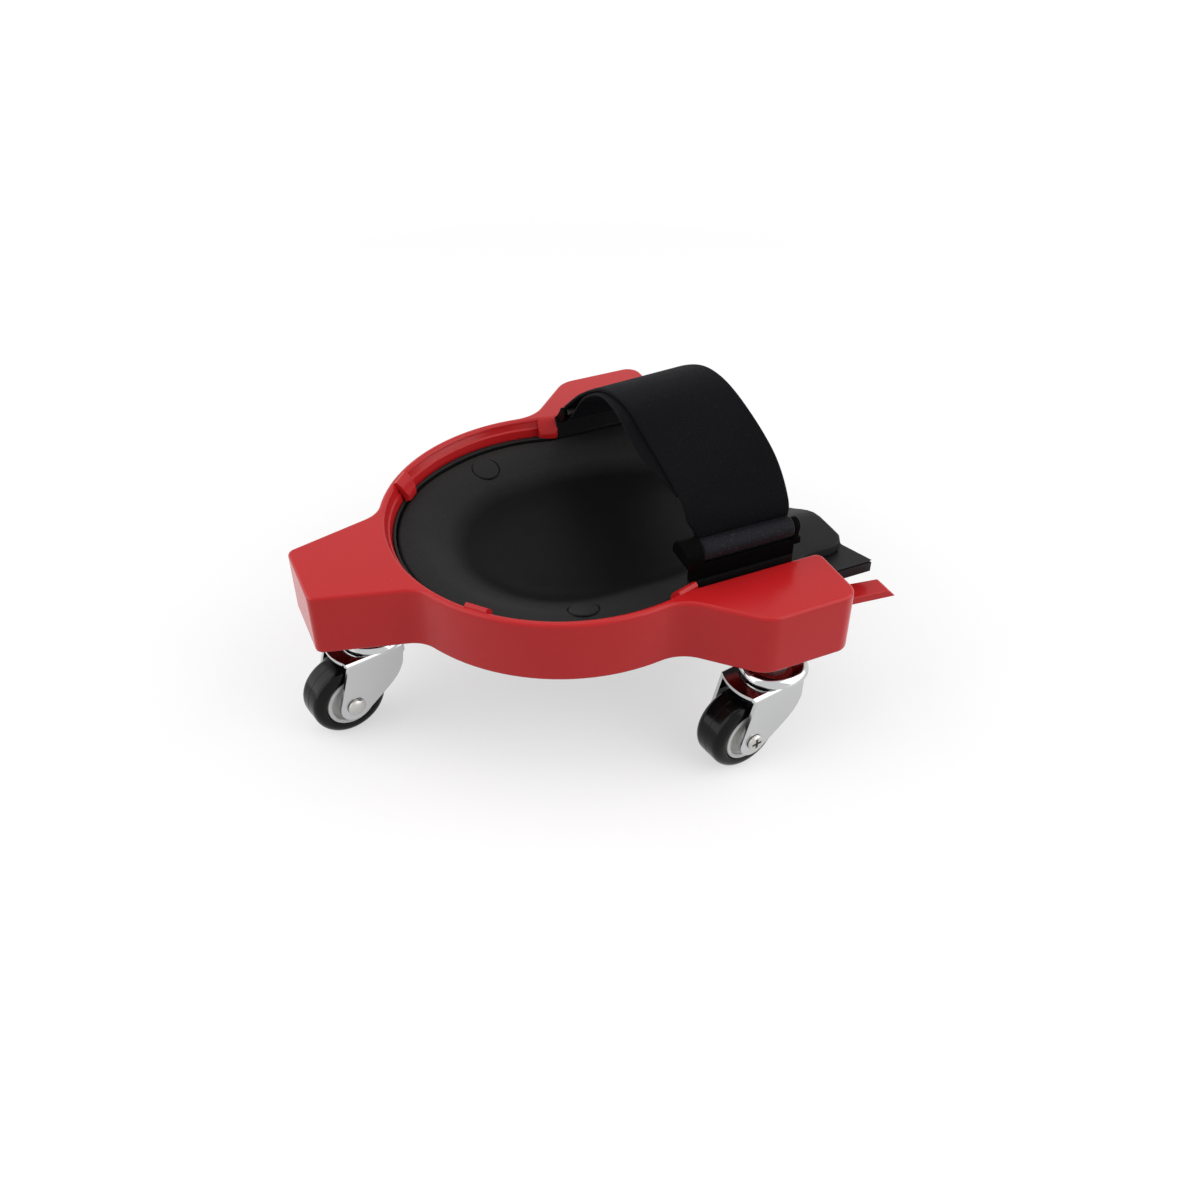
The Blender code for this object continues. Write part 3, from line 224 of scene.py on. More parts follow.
# The weave's tones, a painted shade darker in its hollows, and what the roll does to its height, gloss and
# tone; the roll's paler tone is a painted sheen
WEAVE_SHADES = (0.6, 1.25)
ROLL_FLATTER = 0.75
ROLL_GLOSSIER = 0.38
ROLL_PAINTED_SHEEN = 4.0
# The strap's front and rear edges: share of the near bar's distance, height above the rim
STRAP_FRONT_KNOTS = ((0.88, 0.0305), (0.70, 0.038), (0.38, 0.0455), (0.08, 0.0515), (-0.26, 0.047),
                     (-0.61, 0.031))
STRAP_REAR_KNOTS = ((0.95, 0.0275), (0.76, 0.043), (0.39, 0.0535), (0.06, 0.0565), (-0.24, 0.0505),
                    (-0.61, 0.033))

# Casters, each drawn round its swivel's axis with the wheel ahead
WHEEL_R = JOINTS["front_roll"]["pos_m"][2]
TRAIL = math.dist(JOINTS["front_roll"]["pos_m"][:2], JOINTS["front_swivel"]["pos_m"][:2])
TYRE_HALF = 0.009
TYRE_BEAD = 0.0008
TYRE_SEAM = 0.00012
HUB_R = 0.0128
HUB_BORE_R = 0.0033
HUB_BOSS_R = 0.0062
HUB_RIM = 0.0020
HUB_DISH = 0.0022
HUB_EDGE = 0.0005
RIM_EDGE = 0.0003
FORK_INSIDE = 0.0112
FORK_SHEET = 0.0018
FORK_HALF = FORK_INSIDE + FORK_SHEET
FORK_BEND_R = 0.0028
FORK_END_R = 0.008
FORK_END_ARC = (math.radians(-125), math.radians(15))
FORK_HEEL_DROP = 0.0070
# The fork's rear edge: ahead of the swivel, above the axle
FORK_BACK = ((-0.0086, 0.0200), (-0.0074, 0.0140), (-0.0040, 0.0080), (0.0018, 0.0028), (0.0085, -0.0020))
FORK_LIP = math.radians(33)
FORK_REAR = math.radians(115)
CROWN_TOP = WHEEL_R * 2 + 0.008
CROWN_REAR_R = 0.0152
CROWN_LIP = 0.0243
CUP_LOW, CUP_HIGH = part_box("front_bearing_cup")
CUP_R = (CUP_HIGH.x - CUP_LOW.x) / 2
CUP_ROOF = CUP_HIGH.z - 0.0018
CUP_LAND_R = 0.0075
CUP_FLARE_R = 0.0088
STEM_R = 0.004
NUT_FLATS = 0.013
NUT_CHAMFER = 0.12
AXLE_HEAD_R = 0.0046
AXLE_HEAD = 0.0024
SCREW_HEAD_R = 0.0041
SCREW_HEAD = 0.0017
AXLE_R = 0.0029
SLEEVE_BORE_R = 0.0019
SLEEVE_BORE = 0.0123
SCREW_R = 0.0016
SCREW_REACH = 0.012
CROSS_ARM = 0.0027
CROSS_HALF = 0.0007
CROSS_DEPTH = 0.0024

# Camera, from the photograph's view, with its angles in degrees
VIEW_AZIMUTH = 155.73
VIEW_ELEVATION = 38.73
VIEW_TARGET = Vector((RING_X + 0.0132, 0.0733, FRAME_TOP))
VIEW_DISTANCE = 0.5317
LENS_MM = 36.18
SENSOR_MM = 36.0
CLIP_START = 0.01

# Floor, even light, and each lamp's azimuth, elevation (degrees), distance, size and watts
FLOOR_R = 1.95
FLOOR_FADE = (FLOOR_R * 0.3, FLOOR_R * 0.8)
FLOOR_LIFT = 0.53
EVEN_LIGHT = 0.5
LAMPS = {"left_lamp": (72, 29, 1.5, 1.8, 15.5), "right_lamp": (232, 31, 1.5, 1.8, 17.5),
         "top_lamp": (336, 80, 1.5, 1.2, 3)}

# Turns a prism drawn in (y, z) so that it runs along X, and one drawn in (x, z) along Y
ALONG_X = Matrix(((0, 0, 1, 0), (1, 0, 0, 0), (0, 1, 0, 0), (0, 0, 0, 1)))
ALONG_Y = Matrix.Rotation(math.radians(90), 4, "X")


def length(name, description, default):
    """A length that a user can change."""
    return FloatProperty(name=name, description=description, default=default, precision=5, min=0.0,
                         subtype="DISTANCE", unit="LENGTH")


def portion(name, description, default, low, high):
    """A share or a multiple that a user can change."""
    return FloatProperty(name=name, description=description, default=default, min=low, max=high,
                         subtype="FACTOR")


def colour(name, description, default):
    """A surface colour that a user can change."""
    return FloatVectorProperty(name=name, description=description, default=default, size=3, min=0.0,
                               max=1.0, subtype="COLOR")


class CreeperSizes(bpy.types.PropertyGroup):
    """Sizes that a user can change"""
    rim_round: length("Rim round", "Rounding of the frame's top edges", 0.0018)
    foot_round: length("Foot round", "Rounding of the frame's lower edges", 0.0014)
    clip_width: length("Clip width", "Width of a pad clip along the rim", 0.0108)
    clip_rise: length("Clip rise", "Height of a pad clip above the rim", 0.0013)
    pad_round: length("Pad round", "Rounding of the knee pad's edge", 0.0020)
    ear_round: length("Ear round", "Rounding of the strap ears' edges", 0.0006)
    strap_thick: length("Strap thickness", "Thickness of one layer of webbing", 0.0018)
    roll_swell: portion("Roll swell", "How much thicker the strap is where it is doubled round the near bar",
                        1.35, 1.0, 2.0)
    lap_lead: length("Lap lead", "How far the turned-back end leans out ahead of the strap", 0.0055)
    strap_lap: portion("Strap lap", "Where the turned-back end stops, as a share of the arch",
                       0.22, 0.05, 0.9)
    tyre_round: length("Tyre round", "Rounding of the tyre's shoulders", 0.0042)
    sheet_round: length("Sheet round", "Rounding of the pressed fork's edges", 0.0004)
    turn_steps: IntProperty(name="Turn steps", description="Facets round a turned piece", default=72, min=24)


class CreeperColours(bpy.types.PropertyGroup):
    """Colours that a user can change"""
    red: colour("Red plastic", "Frame moulding", (0.47, 0.012, 0.014))
    black: colour("Black plastic", "Tray and ears", (0.007, 0.007, 0.0075))
    pad: colour("Pad", "Knee pad's skin and its buttons", (0.0058, 0.0058, 0.0058))
    webbing: colour("Webbing", "Leg strap", (0.0024, 0.0024, 0.0031))
    chrome: colour("Chrome", "Forks and bearing cups", (0.53, 0.535, 0.54))
    zinc: colour("Zinc", "Axles, stems, nuts, strap bars and ball cages", (0.52, 0.51, 0.49))
    nylon: colour("Nylon", "Wheel hubs", (0.60, 0.60, 0.59))
    tyre: colour("Tyre", "Wheel treads", (0.003, 0.003, 0.0033))
    floor: colour("Floor", "Studio floor", (0.46, 0.46, 0.46))


def set_inputs(node, values):
    """Sets a node's sockets by name, spaces written as underscores."""
    for label, value in values.items():
        node.inputs[label.replace("_", " ")].default_value = value


def add_node(tree, kind, **values):
    """A node with its sockets set by name."""
    node = tree.nodes.new(kind)
    set_inputs(node, values)
    return node


def put(tree, value, socket):
    """Links a value into a socket, or sets it there where it is a number."""
    if isinstance(value, (int, float)):
        socket.default_value = value
    else:
        tree.links.new(value, socket)


def calculate(tree, operation, first, second=0.0):
    """A Math node on one or two values, each a socket or a number."""
    node = tree.nodes.new("ShaderNodeMath")
    node.operation = operation
    put(tree, first, node.inputs[0])
    put(tree, second, node.inputs[1])
    return node.outputs[0]


def map_range(tree, value, low, high, to_low=0.0, to_high=1.0):
    node = add_node(tree, "ShaderNodeMapRange", From_Min=low, From_Max=high, To_Min=to_low, To_Max=to_high)
    tree.links.new(value, node.inputs["Value"])
    return node.outputs["Result"]


def noise(tree, vector, scale, detail=3.0, roughness=0.5):
    node = add_node(tree, "ShaderNodeTexNoise", Detail=detail, Roughness=roughness)
    tree.links.new(vector, node.inputs["Vector"])
    put(tree, scale, node.inputs["Scale"])
    return node.outputs["Fac"]


def object_place(tree):
    return tree.nodes.new("ShaderNodeTexCoord").outputs["Object"]


def effect_group(name, inputs, outputs):
    """An empty shader group with named float or colour sockets."""
    group = bpy.data.node_groups.new(name, "ShaderNodeTree")
    for label, value in inputs.items():
        kind = "NodeSocketFloat" if isinstance(value, float) else "NodeSocketColor"
        group.interface.new_socket(label, in_out="INPUT", socket_type=kind).default_value = value
    for label, kind in outputs.items():
        group.interface.new_socket(label, in_out="OUTPUT", socket_type=kind)
    return group, group.nodes.new("NodeGroupInput").outputs, group.nodes.new("NodeGroupOutput").inputs


def drift_group(name):
    """Slow changes of tone and gloss over a surface, and fine specks of dust."""
    group, source, sink = effect_group(
        name, {"Colour": (0.5, 0.5, 0.5, 1.0), "Tone": 0.1, "Size": 30.0, "Gloss": 0.4, "Gloss spread": 0.1,
               "Dust": 0.02},
        {"Colour": "NodeSocketColor", "Roughness": "NodeSocketFloat"})
    place = object_place(group)
    slow = noise(group, place, source["Size"], detail=4.0)
    finer = calculate(group, "MULTIPLY", source["Size"], 5.3)
    cloud = noise(group, place, finer, detail=5.0, roughness=0.62)
    speck = map_range(group, noise(group, place, 1900.0, detail=2.0), 0.66, 0.74)
    swing = calculate(group, "MULTIPLY", calculate(group, "SUBTRACT", slow, 0.5), source["Tone"])
    value = calculate(group, "ADD", calculate(group, "MULTIPLY", swing, 2.0), 1.0)
    tint = group.nodes.new("ShaderNodeHueSaturation")
    group.links.new(source["Colour"], tint.inputs["Color"])
    group.links.new(value, tint.inputs["Value"])
    dusty = group.nodes.new("ShaderNodeMix")
    dusty.data_type = "RGBA"
    dusty.inputs["B"].default_value = (0.35, 0.34, 0.32, 1.0)
    group.links.new(calculate(group, "MULTIPLY", speck, source["Dust"]), dusty.inputs["Factor"])
    group.links.new(tint.outputs["Color"], dusty.inputs["A"])
    group.links.new(dusty.outputs["Result"], sink["Colour"])
    spread = calculate(group, "MULTIPLY", calculate(group, "SUBTRACT", cloud, 0.5), source["Gloss spread"])
    group.links.new(calculate(group, "ADD", spread, source["Gloss"]), sink["Roughness"])
    return group


def grain_group(name):
    """Moulded or rubbed-in grain: rounded cells with a finer tooth on them."""
    group, source, sink = effect_group(name, {"Cells": 900.0, "Tooth": 2600.0, "Mix": 0.5},
                                       {"Height": "NodeSocketFloat"})
    place = object_place(group)
    cells = group.nodes.new("ShaderNodeTexVoronoi")
    cells.feature = "SMOOTH_F1"
    cells.inputs["Smoothness"].default_value = 0.6
    group.links.new(place, cells.inputs["Vector"])
    group.links.new(source["Cells"], cells.inputs["Scale"])
    rest = calculate(group, "SUBTRACT", 1.0, source["Mix"])
    low = calculate(group, "MULTIPLY", cells.outputs["Distance"], rest)
    high = calculate(group, "MULTIPLY", noise(group, place, source["Tooth"]), source["Mix"])
    group.links.new(calculate(group, "ADD", low, high), sink["Height"])
    return group


def rub_group(name):
    """Patches of fine rub marks, as a mask."""
    group, source, sink = effect_group(name, {"Size": 40.0, "Amount": 0.5}, {"Mask": "NodeSocketFloat"})
    place = object_place(group)
    turn = add_node(group, "ShaderNodeMapping", Rotation=(0.5, 0.3, 0.9), Scale=(1.0, 0.06, 0.3))
    group.links.new(place, turn.inputs["Vector"])
    lines = map_range(group, noise(group, turn.outputs["Vector"], 2400.0, detail=2.0), 0.60, 0.72)
    patch = map_range(group, noise(group, place, source["Size"]), 0.48, 0.66)
    both = calculate(group, "MULTIPLY", lines, patch)
    group.links.new(calculate(group, "MULTIPLY", both, source["Amount"]), sink["Mask"])
    return group


def weave_group(name):
    """Ribbed webbing: weft ribs across the strap with warp threads over and under them."""
    group, source, sink = effect_group(
        name, {"Along": 0.0, "Across": 0.0, "Rib": 0.001, "Thread": 0.001},
        {"Height": "NodeSocketFloat", "Shade": "NodeSocketFloat"})
    ribs = calculate(group, "DIVIDE", source["Along"], source["Rib"])
    threads = calculate(group, "DIVIDE", source["Across"], source["Thread"])
    odd = calculate(group, "MODULO", calculate(group, "FLOOR", threads), 2.0)
    shifted = calculate(group, "ADD", ribs, calculate(group, "MULTIPLY", odd, 0.5))
    over = calculate(group, "SINE", calculate(group, "MULTIPLY", shifted, math.tau))
    round_off = calculate(group, "SINE", calculate(group, "MULTIPLY", threads, math.tau))
    height = calculate(group, "ADD", calculate(group, "MULTIPLY", over, 0.6),
                       calculate(group, "MULTIPLY", round_off, 0.4))
    group.links.new(height, sink["Height"])
    group.links.new(map_range(group, height, -0.9, 0.9), sink["Shade"])
    return group


EFFECTS = {"Tone drift": drift_group, "Moulded grain": grain_group, "Rub marks": rub_group,
           "Webbing weave": weave_group}


def effect(tree, name, **values):
    """One of the shared effect groups, built on first use, with this material's own values."""
    node = tree.nodes.new("ShaderNodeGroup")
    node.node_tree = bpy.data.node_groups.get(name) or EFFECTS[name](name)
    set_inputs(node, values)
    return node


def finish(name, base, gloss, spread, tone=0.10, size=30.0, dust=0.02, grain=None, depth=0.00004,
           **shader_values):
    """A material with drifting tone and gloss, and grain where its cells, tooth and mix are given."""
    material = bpy.data.materials.new(name)
    material.use_nodes = True
    tree = material.node_tree
    shader = tree.nodes["Principled BSDF"]
    set_inputs(shader, shader_values)
    drift = effect(tree, "Tone drift", Colour=(*base, 1.0), Tone=tone, Size=size, Gloss=gloss,
                   Gloss_spread=spread, Dust=dust)
    tree.links.new(drift.outputs["Colour"], shader.inputs["Base Color"])
    tree.links.new(drift.outputs["Roughness"], shader.inputs["Roughness"])
    if grain:
        cells, tooth, mix = grain
        tooled = effect(tree, "Moulded grain", Cells=cells, Tooth=tooth, Mix=mix)
        bump = add_node(tree, "ShaderNodeBump", Strength=1.0, Distance=depth)
        tree.links.new(tooled.outputs["Height"], bump.inputs["Height"])
        tree.links.new(bump.outputs["Normal"], shader.inputs["Normal"])
    return material


def multiply_base(material, value):
    """Multiplies a material's linked base colour by a value."""
    tree = material.node_tree
    base = tree.nodes["Principled BSDF"].inputs["Base Color"]
    shaded = tree.nodes.new("ShaderNodeMix")
    shaded.data_type = "RGBA"
    shaded.blend_type = "MULTIPLY"
    shaded.inputs["Factor"].default_value = 1.0
    tree.links.new(base.links[0].from_socket, shaded.inputs["A"])
    tree.links.new(value, shaded.inputs["B"])
    tree.links.new(shaded.outputs["Result"], base)


def change_gloss(material, operation, value):
    """Adds a value to a material's linked roughness, or subtracts it."""
    tree = material.node_tree
    roughness = tree.nodes["Principled BSDF"].inputs["Roughness"]
    tree.links.new(calculate(tree, operation, roughness.links[0].from_socket, value), roughness)


def rub_gloss(material, size, amount):
    """Adds rub marks to a material's roughness."""
    marks = effect(material.node_tree, "Rub marks", Size=size, Amount=amount)
    change_gloss(material, "ADD", marks.outputs["Mask"])
    return material


def red_plastic(name, colours):
    material = finish(name, colours.red, gloss=0.23, spread=0.08, tone=0.05, size=22.0, dust=0.01,
                      grain=(420.0, 1500.0, 0.4), depth=0.000012, Specular_IOR_Level=0.25)
    return rub_gloss(material, size=26.0, amount=0.05)


def black_plastic(name, colours):
    return finish(name, colours.black, gloss=0.44, spread=0.12, tone=0.12, grain=(1300.0, 3200.0, 0.5),
                  depth=0.00003, Specular_IOR_Level=0.18)


def shaded_ear_plastic(name, colours):
    """The ears' duller, finely sparked face: a copy of the black plastic darkened as a painted shade."""
    return finish(name, [tone * 0.3 for tone in colours.black], gloss=0.5, spread=0.1, tone=0.12,
                  grain=(1700.0, 3600.0, 0.6), Specular_IOR_Level=0.012)


def pad_skin(name, colours):
    """Soft rubbery skin, with a painted sheen that makes it paler on the high border than in the dish."""
    material = finish(name, colours.pad, gloss=0.46, spread=0.14, tone=0.22, size=18.0, dust=0.03,
                      grain=(1100.0, 3000.0, 0.45), depth=0.00006, Specular_IOR_Level=0.055)
    tree = material.node_tree
    place = object_place(tree)
    parts = tree.nodes.new("ShaderNodeSeparateXYZ")
    tree.links.new(place, parts.inputs["Vector"])
    # Painted sheen: the base colour grows paler the higher the skin lies, so the border is lighter than the
    # dish
    uneven = map_range(tree, noise(tree, place, 45.0), 0.0, 1.0, -PAD_SHEEN_EDGE, PAD_SHEEN_EDGE)
    height = calculate(tree, "ADD", parts.outputs["Z"], uneven)
    low, high = [PAD_HIGH.z - level for level in PAD_SHEEN_LEVELS]
    multiply_base(material, map_range(tree, height, low, high, *PAD_SHEEN_TONES))
    return rub_gloss(material, size=20.0, amount=0.12)


def chrome(name, colours):
    material = finish(name, colours.chrome, gloss=0.14, spread=0.06, tone=0.03, size=60.0, dust=0.0,
                      grain=(260.0, 900.0, 0.6), depth=0.000010, Metallic=1.0)
    return rub_gloss(material, size=70.0, amount=0.12)


def zinc_steel(name, colours):
    material = finish(name, colours.zinc, gloss=0.34, spread=0.16, tone=0.14, size=90.0,
                      grain=(900.0, 2600.0, 0.5), depth=0.00002, Metallic=1.0)
    return rub_gloss(material, size=80.0, amount=0.15)


def hub_nylon(name, colours):
    return finish(name, colours.nylon, gloss=0.42, spread=0.10, tone=0.05, size=70.0,
                  grain=(1000.0, 3000.0, 0.6), depth=0.00002)


def tyre_rubber(name, colours):
    material = finish(name, colours.tyre, gloss=0.16, spread=0.08, tone=0.2, size=60.0, dust=0.03,
                      grain=(800.0, 2400.0, 0.6), depth=0.00002, Specular_IOR_Level=0.15)
    return rub_gloss(material, size=60.0, amount=0.18)


def strap_webbing(name, colours):
    """Woven strap. The weave follows the strap's own along and across attributes."""
    material = finish(name, colours.webbing, gloss=0.72, spread=0.10, tone=0.2, size=35.0, dust=0.05,
                      Specular_IOR_Level=0.05, Sheen_Weight=0.015, Sheen_Roughness=0.5,
                      Sheen_Tint=(0.75, 0.78, 0.9, 1.0))
    tree = material.node_tree
    sockets = {}
    for label in STRAP_ATTRIBUTES:
        node = tree.nodes.new("ShaderNodeAttribute")
        node.attribute_name = label
        sockets[label] = node.outputs["Fac"]
    weave = effect(tree, "Webbing weave", Rib=0.0011, Thread=0.0008)
    tree.links.new(sockets["along"], weave.inputs["Along"])
    tree.links.new(sockets["across"], weave.inputs["Across"])
    rolled = sockets["rolled"]
    depth = map_range(tree, rolled, 0.0, 1.0, 1.0, 1.0 - ROLL_FLATTER)
    bump = add_node(tree, "ShaderNodeBump", Strength=0.8, Distance=0.00012)
    tree.links.new(calculate(tree, "MULTIPLY", weave.outputs["Height"], depth), bump.inputs["Height"])
    tree.links.new(bump.outputs["Normal"], tree.nodes["Principled BSDF"].inputs["Normal"])
    change_gloss(material, "SUBTRACT", calculate(tree, "MULTIPLY", rolled, ROLL_GLOSSIER))
    # Painted shade: the weave's colour is darker in its hollows and paler on its ribs
    tone = map_range(tree, weave.outputs["Shade"], 0.0, 1.0, *WEAVE_SHADES)
    # Painted sheen: the rolled part's base colour is made paler
    roll_sheen = map_range(tree, rolled, 0.0, 1.0, 1.0, ROLL_PAINTED_SHEEN)
    multiply_base(material, calculate(tree, "MULTIPLY", tone, roll_sheen))
    return material


FINISHES = {"Red plastic": red_plastic, "Black plastic": black_plastic, "Ear plastic": shaded_ear_plastic,
            "Pad skin": pad_skin, "Chrome": chrome, "Zinc steel": zinc_steel, "Hub nylon": hub_nylon,
            "Tyre rubber": tyre_rubber, "Strap webbing": strap_webbing}


def surface(context, name):
    """A finish by its name, built on first use."""
    return bpy.data.materials.get(name) or FINISHES[name](name, context.scene.creeper_colours)


def smooth_step(value):
    value = min(max(value, 0.0), 1.0)
    return value * value * (3.0 - 2.0 * value)


def arc(centre, radius, start, end, step=3.0):
    """Points on an arc between two angles in radians, both ends included."""
    steps = max(2, round(abs(end - start) / math.radians(step)))
    angles = [start + (end - start) * i / steps for i in range(steps + 1)]
    return [(centre[0] + radius * math.cos(a), centre[1] + radius * math.sin(a)) for a in angles]


def short_arc(centre, start, end):
    """The arc about a centre from one point to another, the short way round."""
    first = start - centre
    last = end - centre
    angle = math.atan2(first.y, first.x)
    turn = math.atan2(first.x * last.y - first.y * last.x, first.dot(last))
    return arc(centre, first.length, angle, angle + turn, 6.0)


def fillet(before, corner, after, radius):
    """Round the corner between two straight runs."""
    corner = Vector(corner)
    inward = (Vector(before) - corner).normalized()
    outward = (Vector(after) - corner).normalized()
    half = inward.angle(outward) / 2
    reach = radius / math.tan(half)
    centre = corner + (inward + outward).normalized() * (radius / math.sin(half))
    return short_arc(centre, corner + inward * reach, corner + outward * reach)


def smooth_curve(knots, steps):
    """Points on a smooth curve through the knots, with so many steps from each to the next."""
    knots = [Vector(knot) for knot in knots]
    knots = [knots[0] * 2 - knots[1], *knots, knots[-1] * 2 - knots[-2]]
    points = []
    for a, b, c, d in zip(knots, knots[1:], knots[2:], knots[3:]):
        for i in range(steps):
            t = i / steps
            bend = (a * 2 - b * 5 + c * 4 - d) * t**2 + (b * 3 - a - c * 3 + d) * t**3
            points.append((b * 2 + (c - a) * t + bend) / 2)
    return points + [knots[-2]]


def mirror_y(points):
    return [(x, -y) for x, y in reversed(points)]


def moved(bm, matrix):
    bmesh.ops.transform(bm, matrix=matrix, verts=bm.verts)
    return bm


def flipped(bm):
    """The same closed shape on the other side of the XZ plane."""
    bmesh.ops.scale(bm, vec=(1, -1, 1), verts=bm.verts)
    bmesh.ops.reverse_faces(bm, faces=bm.faces)
    return bm


def soften(bm, width, segments=3, angle=30.0, edges=None):
    """Round the sharp edges of a bmesh, or the given ones."""
    if edges is None:
        edges = [edge for edge in bm.edges if edge.calc_face_angle(0.0) > math.radians(angle)]
    bmesh.ops.bevel(bm, geom=edges, offset=width, segments=segments, profile=0.5, affect="EDGES",
                    material=-1, clamp_overlap=True)
    return bm


def prism(outline, low, high):
    """Extrude a flat outline of (x, y) points from z = low to z = high."""
    bm = bmesh.new()
    face = bm.faces.new([bm.verts.new((x, y, low)) for x, y in outline])
    side = bmesh.ops.extrude_face_region(bm, geom=[face])["geom"]
    top = [item for item in side if isinstance(item, bmesh.types.BMVert)]
    bmesh.ops.translate(bm, verts=top, vec=(0, 0, high - low))
    bmesh.ops.recalc_face_normals(bm, faces=bm.faces)
    return bm


def block(low, high):
    outline = [(low[0], low[1]), (high[0], low[1]), (high[0], high[1]), (low[0], high[1])]
    return prism(outline, low[2], high[2])


def turned(profile, steps):
    """Turn a closed (radius, z) profile once about Z."""
    bm = bmesh.new()
    verts = [bm.verts.new((radius, 0, z)) for radius, z in profile]
    edges = [bm.edges.new((verts[i - 1], verts[i])) for i in range(len(verts))
             if profile[i - 1][0] > 0 or profile[i][0] > 0]
    bmesh.ops.spin(bm, geom=verts + edges, axis=(0, 0, 1), cent=(0, 0, 0), angle=math.tau, steps=steps,
                   use_merge=True)
    bmesh.ops.remove_doubles(bm, verts=bm.verts, dist=TINY)
    bmesh.ops.recalc_face_normals(bm, faces=bm.faces)
    return bm


def rod(radius, low, high, steps=32):
    return turned([(0, low), (radius, low), (radius, high), (0, high)], steps)


def loft(loops, tips=(None, None)):
    """Draw one loop out through the others. Each end is closed to its tip, or flat where it has none."""
    bm = bmesh.new()
    ring = [bm.verts.new(point) for point in loops[0]]
    edges = [bm.edges.new((ring[i - 1], ring[i])) for i in range(len(ring))]
    first = list(edges)
    for loop in loops[1:]:
        made = bmesh.ops.extrude_edge_only(bm, edges=edges)["geom"]
        fresh = {item for item in made if isinstance(item, bmesh.types.BMVert)}
        edges = [item for item in made if isinstance(item, bmesh.types.BMEdge) and set(item.verts) <= fresh]
        ring = [next(e.other_vert(v) for e in v.link_edges if e.other_vert(v) in fresh) for v in ring]
        for vert, point in zip(ring, loop):
            vert.co = point
    for end, tip in zip((first, edges), tips):
        if tip is None:
            bmesh.ops.edgeloop_fill(bm, edges=end)
            continue
        made = bmesh.ops.extrude_edge_only(bm, edges=end)["geom"]
        fresh = [item for item in made if isinstance(item, bmesh.types.BMVert)]
        bmesh.ops.pointmerge(bm, verts=fresh, merge_co=tip)
    bmesh.ops.recalc_face_normals(bm, faces=bm.faces)
    return bm


def to_mesh(name, bm):
    mesh = bpy.data.meshes.new(name)
    bm.to_mesh(mesh)
    bm.free()
    return mesh


def add_object(name, data):
    made = bpy.data.objects.new(name, data)
    bpy.context.scene.collection.objects.link(made)
    return made


def merge_close(bm):
    """Merge points that all but coincide, and the slivers between them."""
    bmesh.ops.remove_doubles(bm, verts=bm.verts, dist=MERGE_DISTANCE)
    bmesh.ops.dissolve_degenerate(bm, edges=bm.edges, dist=MERGE_DISTANCE)


def drop_flaps(bm):
    """Cut a bmesh into triangles and remove those that lie back to back on the same points."""
    merge_close(bm)
    bmesh.ops.triangulate(bm, faces=bm.faces)
    found = {}
    for face in bm.faces:
        found.setdefault(frozenset(face.verts), []).append(face)
    flaps = [face for faces in found.values() if len(faces) > 1 for face in faces]
    bmesh.ops.delete(bm, geom=flaps, context="FACES")
    return bm


def combine(base, tool, operation):
    """Combine two closed bmeshes with a Boolean, use both up and return the result."""
    helpers = [add_object("helper", to_mesh("helper", bm)) for bm in (base, tool)]
    modifier = helpers[0].modifiers.new("combine", "BOOLEAN")
    modifier.object = helpers[1]
    modifier.operation = operation
    modifier.solver = "EXACT"
    depsgraph = bpy.context.evaluated_depsgraph_get()
    mesh = bpy.data.meshes.new_from_object(helpers[0].evaluated_get(depsgraph))
    result = bmesh.new()
    result.from_mesh(mesh)
    merge_close(result)
    spare = [vert for vert in result.verts if len(vert.link_edges) == 2]
    bmesh.ops.dissolve_verts(result, verts=spare)
    bpy.data.meshes.remove(mesh)
    for helper in helpers:
        leftover = helper.data
        bpy.data.objects.remove(helper, do_unlink=True)
        bpy.data.meshes.remove(leftover)
    return result


def join(base, *tools):
    for tool in tools:
        base = combine(base, tool, "UNION")
    return base


def cut(base, *tools):
    for tool in tools:
        base = combine(base, tool, "DIFFERENCE")
    return base


def common(base, *tools):
    for tool in tools:
        base = combine(base, tool, "INTERSECT")
    return base


def piece(name, bm, material, body, node, crease=38.0):
    """A finished piece that rides on a body and stands for a CAD node."""
    mesh = to_mesh(name, bm)
    mesh.materials.append(material)
    mesh.shade_smooth()
    mesh.set_sharp_from_angle(angle=math.radians(crease))
    made = add_object(name, mesh)
    weighted = made.modifiers.new("even_normals", "WEIGHTED_NORMAL")
    weighted.keep_sharp = True
    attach(made, body)
    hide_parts(node)
    return made


def at_ring(bm):
    """Move a shape drawn round the ring's centre to its place."""
    return moved(bm, Matrix.Translation((RING_X, 0, 0)))


def ring_blend(corner, angle, radius):
    """Arc that eases a pod's flank, drawn from its corner at an angle, into the ring."""
    sign = math.copysign(1.0, -corner.x)
    along = Vector((sign * math.cos(angle), math.sin(angle) * -sign))
    normal = Vector((math.sin(angle), math.cos(angle)))
    start = corner + normal * radius
    span = start.dot(along)
    run = -span - math.sqrt(span**2 - start.length_squared + (RING_R + radius) ** 2)
    centre = start + along * run
    return short_arc(centre, corner + along * run, centre * (RING_R / centre.length))


